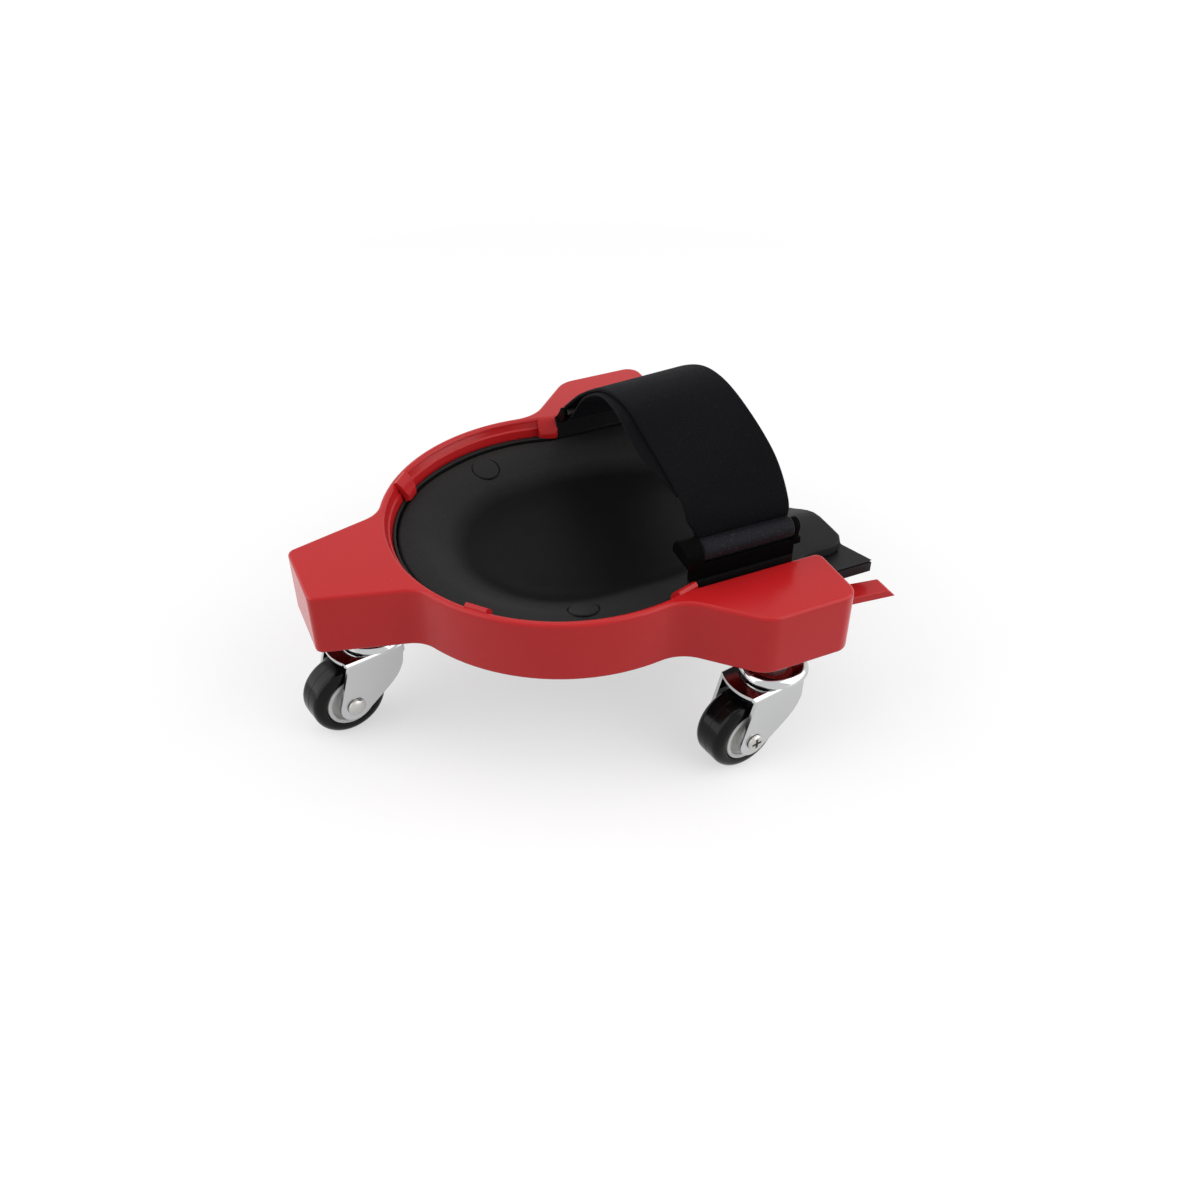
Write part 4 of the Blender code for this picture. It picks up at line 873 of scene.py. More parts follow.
def outer_half():
    """The frame's outer outline on the left side, from the front to the rear inner corner."""
    front = Vector((FRONT_END_X, FRONT_END_HALF))
    flank_run = front + Vector((-math.cos(FRONT_FLANK), math.sin(FRONT_FLANK)))
    shoulder = Vector((SHOULDER_X, POD_SIDE_Y))
    slope_run = shoulder + Vector((math.cos(SHOULDER), -math.sin(SHOULDER)))
    points = fillet((FRONT_END_X, 0), front, flank_run, FRONT_CORNER_R)
    front_blend = ring_blend(front, FRONT_FLANK, FRONT_BLEND_R)
    rear_blend = ring_blend(shoulder, SHOULDER, REAR_BLEND_R)[::-1]
    points += front_blend
    start = math.atan2(front_blend[-1][1], front_blend[-1][0])
    end = math.atan2(rear_blend[0][1], rear_blend[0][0])
    points += arc((0, 0), RING_R, start, end)[1:-1] + rear_blend
    rear_outer = (REAR_X, POD_SIDE_Y)
    rear_inner = (REAR_X, CHANNEL_HALF)
    points += fillet(slope_run, shoulder, rear_outer, SHOULDER_R)
    points += fillet(shoulder, rear_outer, rear_inner, REAR_CORNER_R)
    points += fillet(rear_outer, rear_inner, (SHOULDER_X, CHANNEL_HALF), INNER_CORNER_R)
    return points


def inner_half(inset):
    """The opening's edge on the left side, from the front to where the channel starts."""
    radius = RIM_INNER_R - inset
    half = CHANNEL_HALF - inset
    return arc((0, 0), radius, 0, math.acos(-math.sqrt(radius**2 - half**2) / radius))


def inner_path(inset):
    """The opening's edge, from the left channel round the front to the right channel."""
    half = inner_half(inset)
    return half[:0:-1] + mirror_y(half[::-1])


def frame_body(sizes):
    """The C-shaped block of ring and pods, with its upper and lower edges rounded."""
    left = outer_half()
    bm = prism(left + inner_path(0) + mirror_y(left), RIDE, FRAME_TOP)
    rim = [e for e in bm.edges if all(v.co.z > FRAME_TOP - MERGE_DISTANCE for v in e.verts)]
    soften(bm, sizes.rim_round, segments=5, edges=rim)
    foot = [e for e in bm.edges if all(v.co.z < RIDE + MERGE_DISTANCE for v in e.verts)]
    return soften(bm, sizes.foot_round, edges=foot)


def frame_collar(sizes):
    """The inner wall, creased halfway down, and the tray's ledge, swept round the opening."""
    round_r = sizes.rim_round
    start = (round_r * (math.sin(WALL_SLOPE) - 1), round_r * (1 - math.cos(WALL_SLOPE)))
    crease = start[1] + (CREASE_RUN - start[0]) * math.tan(WALL_SLOPE)
    shelf = CREASE_RUN + SHELF
    ledge = FUNNEL_RUN + LEDGE_RUN
    foot = LEDGE_DROP + LEDGE_THICK
    section = [(-COLLAR_ROOT, start[1] + COLLAR_ROOT), (start[0] - SEAT_GAP / 3, start[1] + SEAT_GAP / 3),
               (CREASE_RUN * 0.85, crease - CREASE_RUN * 0.5), (CREASE_RUN, crease - CREASE_RUN * 0.15),
               (CREASE_RUN + SHELF * 0.2, crease), (shelf - SHELF * 0.45, crease + SHELF * 0.15),
               (shelf - SHELF * 0.15, crease + SHELF * 0.35), (shelf, crease + SHELF * 0.75),
               (FUNNEL_RUN * 0.75, RIM_DROP + SHELF), (FUNNEL_RUN * 0.8, LEDGE_DROP), (ledge, LEDGE_DROP),
               (ledge, foot), (-COLLAR_ROOT, foot + LEDGE_RUN)]
    end_x = REAR_X + WALL / 2
    paths = []
    for inset, down in section:
        path = inner_path(inset)
        path = [(end_x, path[0][1])] + path + [(end_x, path[-1][1])]
        paths.append([(x, y, FRAME_TOP - down) for x, y in path])
    return loft(list(zip(*paths)))


def pod_hollows():
    """The spaces inside the pods, open at the bottom, with rounded corners."""
    front_x = FRONT_END_X - WALL
    wall = WALL / math.cos(FRONT_FLANK)
    front_y = FRONT_END_HALF + WALL * math.tan(FRONT_FLANK) - wall
    back_y = FRONT_END_HALF + (FRONT_END_X - RING_R) * math.tan(FRONT_FLANK) - wall
    front = [(front_x, -front_y), (front_x, front_y), (RING_R, back_y), (RING_R, -back_y)]
    side_y = POD_SIDE_Y - WALL
    inner_y = CHANNEL_HALF + WALL * 1.25
    corner_x = SHOULDER_X - WALL * math.tan(SHOULDER / 2)
    toe_x = corner_x + POD_TOE
    rear_x = REAR_X + WALL
    left = [(rear_x, inner_y), (toe_x, inner_y), (toe_x, side_y - POD_TOE * math.tan(SHOULDER)),
            (corner_x, side_y), (rear_x + REAR_CORNER_R / 2, side_y), (rear_x, side_y - REAR_CORNER_R / 2)]
    hollows = [prism(outline, RIDE - WALL, FRAME_TOP - ROOF) for outline in (front, left, mirror_y(left))]
    for hollow in hollows:
        soften(hollow, WALL / 3, segments=2)
        bmesh.ops.triangulate(hollow, faces=hollow.faces)
    return hollows


def swivel_places():
    """Each caster's swivel axis, round the ring's centre."""
    return {side: (JOINTS[f"{side}_swivel"]["pos_m"][0] - RING_X, JOINTS[f"{side}_swivel"]["pos_m"][1])
            for side in SIDES}


def pod_ribs(centre, low, high):
    """A boss for the caster's stem and two crossed ribs that tie it to the pod's walls."""
    top = FRAME_TOP - ROOF / 2
    foot = RIDE + RIB
    chamfer = RIB / 4
    boss = turned([(0, RIDE), (BOSS_R - chamfer, RIDE), (BOSS_R, RIDE + chamfer), (BOSS_R, top), (0, top)],
                  steps=48)
    along = block((low[0], centre[1] - RIB / 2, foot), (high[0], centre[1] + RIB / 2, top))
    across = block((centre[0] - RIB / 2, low[1], foot), (centre[0] + RIB / 2, high[1], top))
    return [moved(boss, Matrix.Translation((*centre, 0))), along, across]


def caster_seats():
    """Bosses and ribs in the three pods."""
    half = WALL / 2
    places = swivel_places()
    front_y = FRONT_END_HALF + (FRONT_END_X - places["front"][0]) * math.tan(FRONT_FLANK) - half
    parts = pod_ribs(places["front"], (RING_R - half, -front_y), (FRONT_END_X - half, front_y))
    low = (REAR_X + half, CHANNEL_HALF + half)
    high = (SHOULDER_X + half * 4, POD_SIDE_Y - half)
    parts += pod_ribs(places["left"], low, high)
    return parts + pod_ribs(places["right"], (low[0], -high[1]), (high[0], -low[1]))


def stem_bores():
    """The stem's bore in each boss."""
    tip = FRAME_TOP - ROOF * 1.8
    return [moved(rod(STEM_R + SEAT_GAP, RIDE - WALL, tip), Matrix.Translation((*centre, 0)))
            for centre in swivel_places().values()]


def pad_clip(sizes, angle):
    """A hook that arches from the rim over the pad's edge."""
    top = FRAME_TOP + sizes.clip_rise
    edge = RIM_INNER_R
    tip = edge - CLIP_REACH
    tip_z = PAD_HIGH.z + SEAT_GAP * 2
    back = [(edge + CLIP_ROOT, FRAME_TOP - CLIP_THICK), (edge + CLIP_ROOT, FRAME_TOP - CLIP_THICK * 0.2)]
    over = smooth_curve([(edge + CLIP_ROOT * 0.7, FRAME_TOP + sizes.clip_rise * 0.5),
                         (edge - CLIP_ROOT * 0.2, top),
                         (edge - CLIP_REACH * 0.45, FRAME_TOP - CLIP_THICK * 0.3),
                         (tip + CLIP_THICK * 0.2, tip_z + CLIP_THICK * 1.3), (tip, tip_z)], 5)
    under = smooth_curve([(tip + CLIP_THICK * 0.9, tip_z), (tip + CLIP_THICK * 1.2, tip_z + CLIP_THICK * 0.9),
                          (edge - CLIP_REACH * 0.25, FRAME_TOP - CLIP_THICK * 1.3)], 4)
    half = sizes.clip_width / 2
    hook = moved(prism(back + over + under, -half, half), ALONG_Y)
    root = edge + CLIP_ROOT * 2
    corner = fillet((root, half), (tip - SEAT_GAP, half), (tip - SEAT_GAP, 0), CLIP_CORNER_R)
    plan = [(root, half), *corner, *mirror_y(corner), (root, -half)]
    hook = common(hook, prism(plan, FRAME_TOP - CLIP_REACH * 2, FRAME_TOP + CLIP_REACH))
    hook = soften(hook, CLIP_THICK * 0.3, angle=50.0)
    return moved(hook, Matrix.Rotation(math.radians(angle), 4, "Z"))


def frame_arms():
    """The two splayed arms behind the rear pods, under the tray's wings, with slanted ends."""
    low, high = ARM_LEVELS
    root_x = REAR_X + WALL
    flat_x = ARM_END_X + ARM_CHAMFER
    plan = [(root_x, ARM_ROOT[0]), (root_x, ARM_ROOT[1]), (ARM_END_X, ARM_TIP[1]), (ARM_END_X, ARM_TIP[0])]
    side = [(root_x - WALL * 4, high), (flat_x, high), (ARM_END_X, low), (ARM_END_X - WALL, low),
            (ARM_END_X - WALL, high + WALL), (root_x - WALL * 4, high + WALL)]
    arms = []
    for outline in (plan, mirror_y(plan)):
        slant = moved(prism(side, -POD_SIDE_Y, POD_SIDE_Y), ALONG_Y)
        arms.append(soften(cut(prism(outline, low, high), slant), ARM_CHAMFER / 8))
    return arms


class CREEPER_OT_frame(bpy.types.Operator):
    """Mould the red frame: ring, pods, collar, ribs, arms and pad clips"""
    bl_idname = "creeper.frame"
    bl_label = "Frame"

    def execute(self, context):
        sizes = context.scene.creeper_sizes
        bm = cut(frame_body(sizes), *pod_hollows())
        bm = join(bm, frame_collar(sizes), *frame_arms(), *caster_seats())
        bm = join(bm, *[pad_clip(sizes, angle) for angle in CLIP_ANGLES])
        bm = cut(bm, *stem_bores())
        piece("frame_moulding", at_ring(bm), surface(context, "Red plastic"), "frame", "frame")
        return {"FINISHED"}


def pad_height(x, y):
    """Height of the pad's upper face: a round bowl that narrows into a groove along the tail."""
    reach = math.hypot(max(x, 0.0), y)
    run = smooth_step((GROOVE_START_X - x) / (GROOVE_START_X - PAD_TAIL_X))
    edge = BOWL_TOP_R + (GROOVE_HALF - BOWL_TOP_R) * run
    return PAD_HIGH.z - BOWL_DEPTH * smooth_step((edge - reach) / BOWL_SLOPE)


def pad_outline():
    """The soft pad's edge on the left side, from the front to the middle of the tail."""
    half = CHANNEL_HALF - PAD_MARGIN
    points = []
    for x, y in inner_half(PAD_MARGIN):
        lead = PAD_LEAD * (1 - smooth_step((math.atan2(y, x) - PAD_LEAD_FROM) / PAD_LEAD_FADE))
        grow = 1 + lead / (RIM_INNER_R - PAD_MARGIN)
        points.append((x * grow, y * grow))
    for i in range(NECK_STEPS + 1):
        share = i / NECK_STEPS
        points.append((REAR_X + NECK_FORE - (NECK_FORE + NECK_AFT) * share,
                       half + (PAD_TAIL_HALF - half) * smooth_step(share)))
    points += fillet(points[-1], (PAD_TAIL_X, PAD_TAIL_HALF), (PAD_TAIL_X, 0), PAD_TAIL_R)
    return points + [(PAD_TAIL_X, 0)]


def tray_outline():
    """The tray's edge on the left side, from the front to the middle of the tail."""
    half = CHANNEL_HALF - TRAY_MARGIN
    clear_x = REAR_X - PAD_GAP * 2
    points = inner_half(TRAY_MARGIN)
    return points + [(clear_x, half), (clear_x - (TRAY_WING_HALF - half), TRAY_WING_HALF),
                     (TRAY_WING_X, TRAY_WING_HALF), (TRAY_TAIL_X, TRAY_WING_START), (TRAY_TAIL_X, 0)]


def reach_along(outline, angle):
    """Distance from the pad's centre to an outline along a ray."""
    ray = Vector((math.cos(angle), math.sin(angle)))
    centre = Vector((PAD_CENTRE_X, 0))
    best = 0.0
    for first, last in zip(outline, outline[1:]):
        start = Vector(first) - centre
        edge = Vector(last) - Vector(first)
        across = ray.cross(edge)
        if abs(across) < TINY**2:
            continue
        share = start.cross(ray) / across
        if -TINY <= share <= 1 + TINY:
            best = max(best, start.cross(edge) / across)
    return best


def pad_rays(step, marks):
    """Directions from the pad's centre, evenly spread, with one to each mark on the left side."""
    angles = [i * step for i in range(round(math.pi / step) + 1)]
    corners = [math.atan2(y, x - PAD_CENTRE_X) for x, y in marks]
    angles = [a for a in angles if all(abs(a - c) > step * 0.3 for c in corners)]
    half = sorted(angles + corners)
    return half + [-a for a in reversed(half) if TINY < a < math.pi - TINY]


def at_ray(angle, reach):
    return PAD_CENTRE_X + reach * math.cos(angle), reach * math.sin(angle)


def pad_middle(drop):
    return PAD_CENTRE_X, 0.0, pad_height(PAD_CENTRE_X, 0.0) - drop


def pad_shares(count):
    return [(i + 1) / (count + 1) for i in range(count)]


def button_place(side):
    """The pad button's seat: on the pad's face, square to it."""
    turn = BUTTON_ANGLE * side
    x = BUTTON_OUT * math.cos(turn)
    y = BUTTON_OUT * math.sin(turn)
    step = BUTTON_R / 2
    slope_x = (pad_height(x + step, y) - pad_height(x - step, y)) / (2 * step)
    slope_y = (pad_height(x, y + step) - pad_height(x, y - step)) / (2 * step)
    normal = Vector((-slope_x, -slope_y, 1)).normalized()
    tilt = Vector((0, 0, 1)).rotation_difference(normal).to_matrix().to_4x4()
    return Matrix.Translation((x, y, pad_height(x, y))) @ tilt


def button_hole(side):
    """The stem's hole, through the pad and the tray."""
    return moved(rod(BUTTON_HOLE_R, -PAD_THICK * 3, PAD_THICK, steps=24), button_place(side))


def button_profile():
    """A push-in button's (radius, z) section: a tapered stem and a thin domed head."""
    foot = -TRAY_FLOOR - TRAY_THICK - BUTTON_STEM_OUT
    return [(0, foot), (BUTTON_TIP_R, foot), (BUTTON_STEM_R, foot + BUTTON_TAPER),
            (BUTTON_STEM_R, -BUTTON_HEAD), (BUTTON_R, -BUTTON_HEAD), (BUTTON_R, -BUTTON_EDGE),
            (BUTTON_R - BUTTON_EDGE, BUTTON_EDGE * 0.5), (BUTTON_R - BUTTON_EDGE * 3.5, BUTTON_EDGE * 1.25),
            (BUTTON_R * 0.5, BUTTON_EDGE * 2), (0, BUTTON_EDGE * 2.25)]


def pad_body(sizes):
    """The soft dished pad, one thickness all over, with a full round edge."""
    half = pad_outline()
    rays = pad_rays(PAD_RAY_STEP, [])
    reaches = [reach_along(half, abs(angle)) for angle in rays]

    def loop(share, back, drop):
        points = []
        for angle, reach in zip(rays, reaches):
            x, y = at_ray(angle, reach * share - back)
            points.append((x, y, pad_height(x, y) - drop))
        return points

    shares = pad_shares(PAD_LOOPS)[:-1]
    radius = sizes.pad_round
    lower = radius * 0.4
    loops = [loop(share, 0, 0) for share in shares]
    loops += [loop(1, -x, -z) for x, z in arc((-radius, -radius), radius, math.pi / 2, 0, 15.0)]
    loops += [loop(1, 0, PAD_THICK - lower), loop(1, lower, PAD_THICK)]
    loops += [loop(share, 0, PAD_THICK) for share in reversed(shares)]
    return loft(loops, (pad_middle(0), pad_middle(PAD_THICK)))


class CREEPER_OT_knee_pad(bpy.types.Operator):
    """Form the soft knee pad"""
    bl_idname = "creeper.knee_pad"
    bl_label = "Knee Pad"

    def execute(self, context):
        bm = pad_body(context.scene.creeper_sizes)
        for side in HANDS.values():
            seat = rod(BUTTON_R + SEAT_GAP * 2, -BUTTON_SEAT, PAD_THICK, steps=48)
            bm = cut(bm, moved(seat, button_place(side)), button_hole(side))
        made = piece("knee_pad_skin", at_ring(bm), surface(context, "Pad skin"), "frame", "knee_pad")
        return {"FINISHED"}


class CREEPER_OT_buttons(bpy.types.Operator):
    """Turn the two push-in buttons that hold the pad"""
    bl_idname = "creeper.buttons"
    bl_label = "Pad Buttons"

    def execute(self, context):
        steps = context.scene.creeper_sizes.turn_steps
        for name, side in HANDS.items():
            bm = moved(turned(button_profile(), steps), button_place(side))
            piece(f"pad_button_{name}_face", at_ring(bm), surface(context, "Pad skin"), "frame",
                  f"pad_button_{name}")
        return {"FINISHED"}


def tray_shell():
    """The tray's dish: a floor under the pad, a lip round it and a deep edge along the tail."""
    pad = pad_outline()
    tray = tray_outline()
    rays = pad_rays(TRAY_RAY_STEP, tray[-5:-1])
    spans = []
    for angle in rays:
        inner = reach_along(pad, abs(angle)) + PAD_GAP
        spans.append((angle, inner, max(reach_along(tray, abs(angle)), inner + LIP_WIDTH)))

    def dish(share, drop):
        points = []
        for angle, inner, outer in spans:
            x, y = at_ray(angle, (inner - PAD_GAP) * share)
            points.append((x, y, pad_height(x, y) - drop))
        return points

    def rim(on_outer, back, level):
        points = []
        for angle, inner, outer in spans:
            x, y = at_ray(angle, (outer if on_outer else inner) - back)
            points.append((x, y, pad_height(*at_ray(angle, inner)) - level(x, y)))
        return points

    def floor_level(x, y):
        return TRAY_FLOOR

    def lip_top(x, y):
        lip = 1 - smooth_step((REAR_X + NECK_FORE - x) / (NECK_FORE - LIP_END))
        return TRAY_FLOOR - lip * (TRAY_FLOOR + LIP_RISE) - SEAT_GAP

    def lip_edge(x, y):
        return lip_top(x, y) + SEAT_GAP

    def groove_top(x, y):
        return lip_edge(x, y) + SEAT_GAP

    def groove_foot(x, y):
        return lip_edge(x, y) + GROOVE_DEEP + SEAT_GAP

    def edge_foot(x, y):
        on_wing = x < REAR_X - PAD_GAP * 3 and abs(y) > TRAY_WING_START - PAD_GAP
        return TRAY_FLOOR + (TRAY_EDGE if on_wing else TRAY_THICK)

    def underside(x, y):
        return TRAY_FLOOR + TRAY_THICK

    shares = pad_shares(TRAY_LOOPS)
    soft = SEAT_GAP * 1.2
    loops = [dish(share, TRAY_FLOOR) for share in shares]
    loops += [rim(False, 0, floor_level), rim(False, 0, lip_edge), rim(False, -soft, lip_top)]
    loops += [rim(True, soft, lip_top), rim(True, 0, lip_edge), rim(True, GROOVE_DEEP, groove_top)]
    loops += [rim(True, GROOVE_DEEP, groove_foot), rim(True, 0, groove_foot), rim(True, 0, edge_foot)]
    loops += [rim(True, LIP_WIDTH, edge_foot), rim(True, TRAY_EDGE_WIDTH, underside)]
    loops += [dish(share, TRAY_FLOOR + TRAY_THICK) for share in reversed(shares)]
    return loft(loops, (pad_middle(TRAY_FLOOR), pad_middle(TRAY_FLOOR + TRAY_THICK)))


def ear_lean(side):
    """Turns an upright left ear in over the pad, about the bend in its web."""
    bend = Vector((0, EAR_INNER_Y + EAR_THICK / 2, EAR_BEND))
    return Matrix.Translation(bend) @ Matrix.Rotation(EAR_LEANS[side], 4, "X") @ Matrix.Translation(-bend)


def bar_axis(side):
    """Where the left (1) or the right (-1) cross bar's axis lies, as y and z."""
    place = ear_lean(side) @ Vector((0, BAR_Y, BAR_Z))
    return Vector((place.y * side, place.z))


def bar_place(side):
    """Lays a rod drawn along Z on a cross bar's axis."""
    return Matrix.Translation((0, *bar_axis(side))) @ Matrix.Rotation(math.radians(90), 4, "Y")


def ear_lug(radius, bottom, low, high):
    """A round-headed lug that stands on the cradle, between two places along the bar."""
    head = arc((BAR_Y, BAR_Z), radius, *LUG_HEAD, 6.0)
    section = [(BAR_Y + CRADLE_HALF, bottom), *head, (BAR_Y - CRADLE_HALF, bottom)]
    return moved(prism(section, low, high), ALONG_X)


def front_lug(sizes, side, foot):
    """The lug ahead of the strap, undercut so that only its head reaches forward."""
    tip = LUG_FRONT_X[side]
    level = BAR_Z - BAR_R / 2
    heel = EAR_WEB_TOP - CRADLE_DEPTH * 1.4
    back = tip - LUG_UNDERCUTS[side]
    clear = LUG_RADII[side] * 2
    below = prism([(tip + clear, level), (tip, level), (back, heel), (back, foot), (tip + clear, foot)],
                  -BAR_Y - clear, clear - BAR_Y)
    start = STRAP_FRONT_X + SEAT_GAP - ROLL_TUCKS[side]
    lug = cut(ear_lug(LUG_RADII[side], heel, start, tip), moved(below, ALONG_Y))
    return soften(lug, sizes.ear_round * 1.5, angle=50.0)


def strap_ear(sizes, side):
    """An ear: a web on the tray's side that bends in, a cradle along its top and a lug at each end."""
    root = EAR_WEB_TOP - CRADLE_DEPTH / 2
    slope_top = FRAME_TOP - FUNNEL_TOP
    slope_foot = slope_top - (RIM_DROP - FUNNEL_TOP) * 0.8
    foot = FRAME_TOP - LEDGE_DROP + TRAY_THICK * 1.5
    outer = EAR_INNER_Y + EAR_THICK
    above = EAR_BEND + EAR_THICK / 4
    below = EAR_BEND - EAR_THICK / 4
    stump = prism([(EAR_INNER_Y, foot), (EAR_FOOT_Y, foot), (EAR_FOOT_Y, slope_foot), (outer, slope_top),
                   (outer, above), (EAR_INNER_Y, above)], *EAR_WEB_SPAN)
    web = prism([(EAR_INNER_Y, below), (outer, below), (outer, root), (EAR_INNER_Y, root)], *EAR_WEB_SPAN)
    cradle = soften(block((EAR_REAR_X, BAR_Y - CRADLE_HALF, EAR_WEB_TOP - CRADLE_DEPTH),
                          (EAR_WEB_SPAN[1], BAR_Y + CRADLE_HALF, EAR_WEB_TOP)), sizes.ear_round)
    end = STRAP_REAR_X - SEAT_GAP
    rear = soften(ear_lug(LUG_REAR_R, root, end - LUG_REAR, end), sizes.ear_round)
    head = join(moved(web, ALONG_X), cradle, front_lug(sizes, side, foot), rear)
    ear = join(moved(stump, ALONG_X), moved(head, ear_lean(side)))
    ear = ear if side > 0 else flipped(ear)
    bore = rod(BAR_BORE_R, EAR_REAR_X - WALL, BAR_TIPS[side] + SEAT_GAP, steps=24)
    return cut(ear, moved(bore, bar_place(side)))


class CREEPER_OT_tray(bpy.types.Operator):
    """Mould the black pad tray with its strap ears"""
    bl_idname = "creeper.tray"
    bl_label = "Pad Tray"

    def execute(self, context):
        sizes = context.scene.creeper_sizes
        bm = join(tray_shell(), *[strap_ear(sizes, side) for side in HANDS.values()])
        bm = cut(bm, *[button_hole(side) for side in HANDS.values()])
        made = piece("pad_tray_moulding", at_ring(bm), surface(context, "Black plastic"), "frame", "pad_tray")
        # Faces above the frame's top take the ears' darker copy of the black plastic, a painted shade
        made.data.materials.append(surface(context, "Ear plastic"))
        for face in made.data.polygons:
            face.material_index = int(face.center.z > FRAME_TOP)
        return {"FINISHED"}


def polar(centre, radius, degrees):
    angle = math.radians(degrees)
    return centre + Vector((math.cos(angle), math.sin(angle))) * radius


def normals_of(path):
    """Unit normals of a (y, z) path, on its left hand seen along it."""
    last = len(path) - 1
    found = []
    for i in range(last + 1):
        along = (path[min(i + 1, last)] - path[max(i - 1, 0)]).normalized()
        found.append(Vector((-along.y, along.x)))
    return found


def runs_along(path):
    """Distance from a path's start to each of its points."""
    runs = [0.0]
    for first, last in zip(path, path[1:]):
        runs.append(runs[-1] + (last - first).length)
    return runs


def lap_bow(sizes, share):
    """How far the turned-back end stands off at a share of the arch: most near its end."""
    rise = smooth_step((LAP_BOW_START - share) / LAP_BOW_RISE)
    return rise * smooth_step((share - sizes.strap_lap) / LAP_BOW_FALL)


def strap_path(sizes, share):
    """One line of the strap, at a share of its width: near roll, arch, far roll and turned-back end."""
    thick = sizes.strap_thick
    reach = BAR_R + SEAT_GAP / 2 + thick / 2
    wide_reach = reach + thick * (sizes.roll_swell - 1) / 2
    near = bar_axis(1)
    far = bar_axis(-1)
    roll = [polar(near, wide_reach, NEAR_LEAVE + ROLL_STEP * (ROLL_STEPS - i)) for i in range(ROLL_STEPS)]
    knots = [Vector((BAR_Y * (a[0] + (b[0] - a[0]) * share), FRAME_TOP + a[1] + (b[1] - a[1]) * share))
             for a, b in zip(STRAP_FRONT_KNOTS, STRAP_REAR_KNOTS)]
    knots = [polar(near, wide_reach, NEAR_LEAVE), *knots, polar(far, reach, FAR_MEET)]
    arch = smooth_curve(knots, ARCH_STEPS)
    turn = [polar(far, reach, FAR_MEET + ROLL_STEP * (i + 1)) for i in range(FAR_STEPS)]
    normals = normals_of(arch)
    lap = []
    for i in range(len(arch) - 2, round(len(arch) * sizes.strap_lap), -1):
        fade = smooth_step((len(arch) - 1 - i) / LAP_FADE)
        close = thick * (LAP_GAP + LAP_BOW * lap_bow(sizes, i / len(arch)))
        lap.append(arch[i] + normals[i] * (reach * 2 * (1 - fade) + close * fade))
    return roll, arch, turn, lap


def strap_stations(sizes, roll, arch, turn, lap):
    """For each step along the strap: how far it leads, swells and tucks back, and if it is rolled."""
    stations = [(0.0, sizes.roll_swell, ROLL_TUCKS[1], 1.0)] * len(roll)
    start, end = TUCK_FADE
    for i in range(len(arch)):
        swell = 1 + (sizes.roll_swell - 1) * (1 - smooth_step(i / SWELL_FADE))
        tuck = ROLL_TUCKS[1] * (1 - smooth_step((i - start) / (end - start)))
        stations.append((0.0, swell, tuck, 0.0))
    stations += [(0.0, 1.0, 0.0, 1.0)] * len(turn)
    for i in range(len(lap)):
        lead = sizes.lap_lead * lap_bow(sizes, (len(arch) - 2 - i) / len(arch))
        stations.append((lead, 1.0, 0.0, 0.0))
    return stations


def strap_columns():
    """Shares of the width at which the strap is drawn, each with its share of the full thickness."""
    step = (1 - STRAP_INSIDE * 2) / (STRAP_COLUMNS - 1)
    inner = [(STRAP_INSIDE + step * i, 1.0) for i in range(STRAP_COLUMNS)]
    return [*STRAP_EDGE, *inner, *[(1 - share, full) for share, full in reversed(STRAP_EDGE)]]


def mark_weave(bm, columns, stations, runs, width):
    """Writes how far along and across the strap each point lies, and if it is rolled."""
    layers = [bm.verts.layers.float.new(label) for label in STRAP_ATTRIBUTES]
    round_trip = len(columns) * 2
    bm.verts.ensure_lookup_table()
    for index, vert in enumerate(bm.verts):
        i, j = divmod(index, round_trip)
        share = columns[min(j, round_trip - 1 - j)][0]
        for layer, value in zip(layers, (runs[i], share * width, stations[i][-1])):
            vert[layer] = value


def strap_band(sizes):
    """The strap as one closed band, with its width and its mean length."""
    columns = strap_columns()
    stretches = [strap_path(sizes, share) for share, full in columns]
    stations = strap_stations(sizes, *stretches[0])
    paths = [roll + arch + turn + lap for roll, arch, turn, lap in stretches]
    normals = [normals_of(path) for path in paths]
    width = STRAP_FRONT_X - STRAP_REAR_X
    loops = []
    for i, (lead, swell, tuck, rolled) in enumerate(stations):
        outer = []
        inner = []
        for (share, full), path, normal in zip(columns, paths, normals):
            x = STRAP_FRONT_X - width * share + lead - tuck * (1 - share)
            half = sizes.strap_thick / 2 * full * swell
            for side, row in ((-half, outer), (half, inner)):
                row.append((x, *(path[i] + normal[i] * side)))
        loops.append(outer + inner[::-1])
    bm = loft(loops)
    runs = [runs_along(path) for path in paths]
    mark_weave(bm, columns, stations, runs[len(runs) // 2], width)
    return bm, width, sum(run[-1] for run in runs) / len(runs)


class CREEPER_OT_strap(bpy.types.Operator):
    """Weave the leg strap round its two bars"""
    bl_idname = "creeper.strap"
    bl_label = "Leg Strap"

    def execute(self, context):
        bm, width, run = strap_band(context.scene.creeper_sizes)
        made = piece("leg_strap_webbing", at_ring(bm), surface(context, "Strap webbing"), "frame",
                     "leg_strap", crease=60.0)
        return {"FINISHED"}


def caster_place(side):
    """Stands a caster drawn round Z, with its wheel ahead, at its swivel."""
    swivel = Vector(JOINTS[f"{side}_swivel"]["pos_m"])
    ahead = Vector(JOINTS[f"{side}_roll"]["pos_m"]) - swivel
    turn = Matrix.Rotation(math.atan2(ahead.y, ahead.x), 4, "Z")
    return Matrix.Translation((swivel.x, swivel.y, 0)) @ turn


def axle_place(side):
    """Lays a shape turned about Z on a caster's axle. The left one is put in from the other side."""
    lie = Matrix.Rotation(math.radians(90 if side == "left" else -90), 4, "X")
    return caster_place(side) @ Matrix.Translation((TRAIL, 0, WHEEL_R)) @ lie


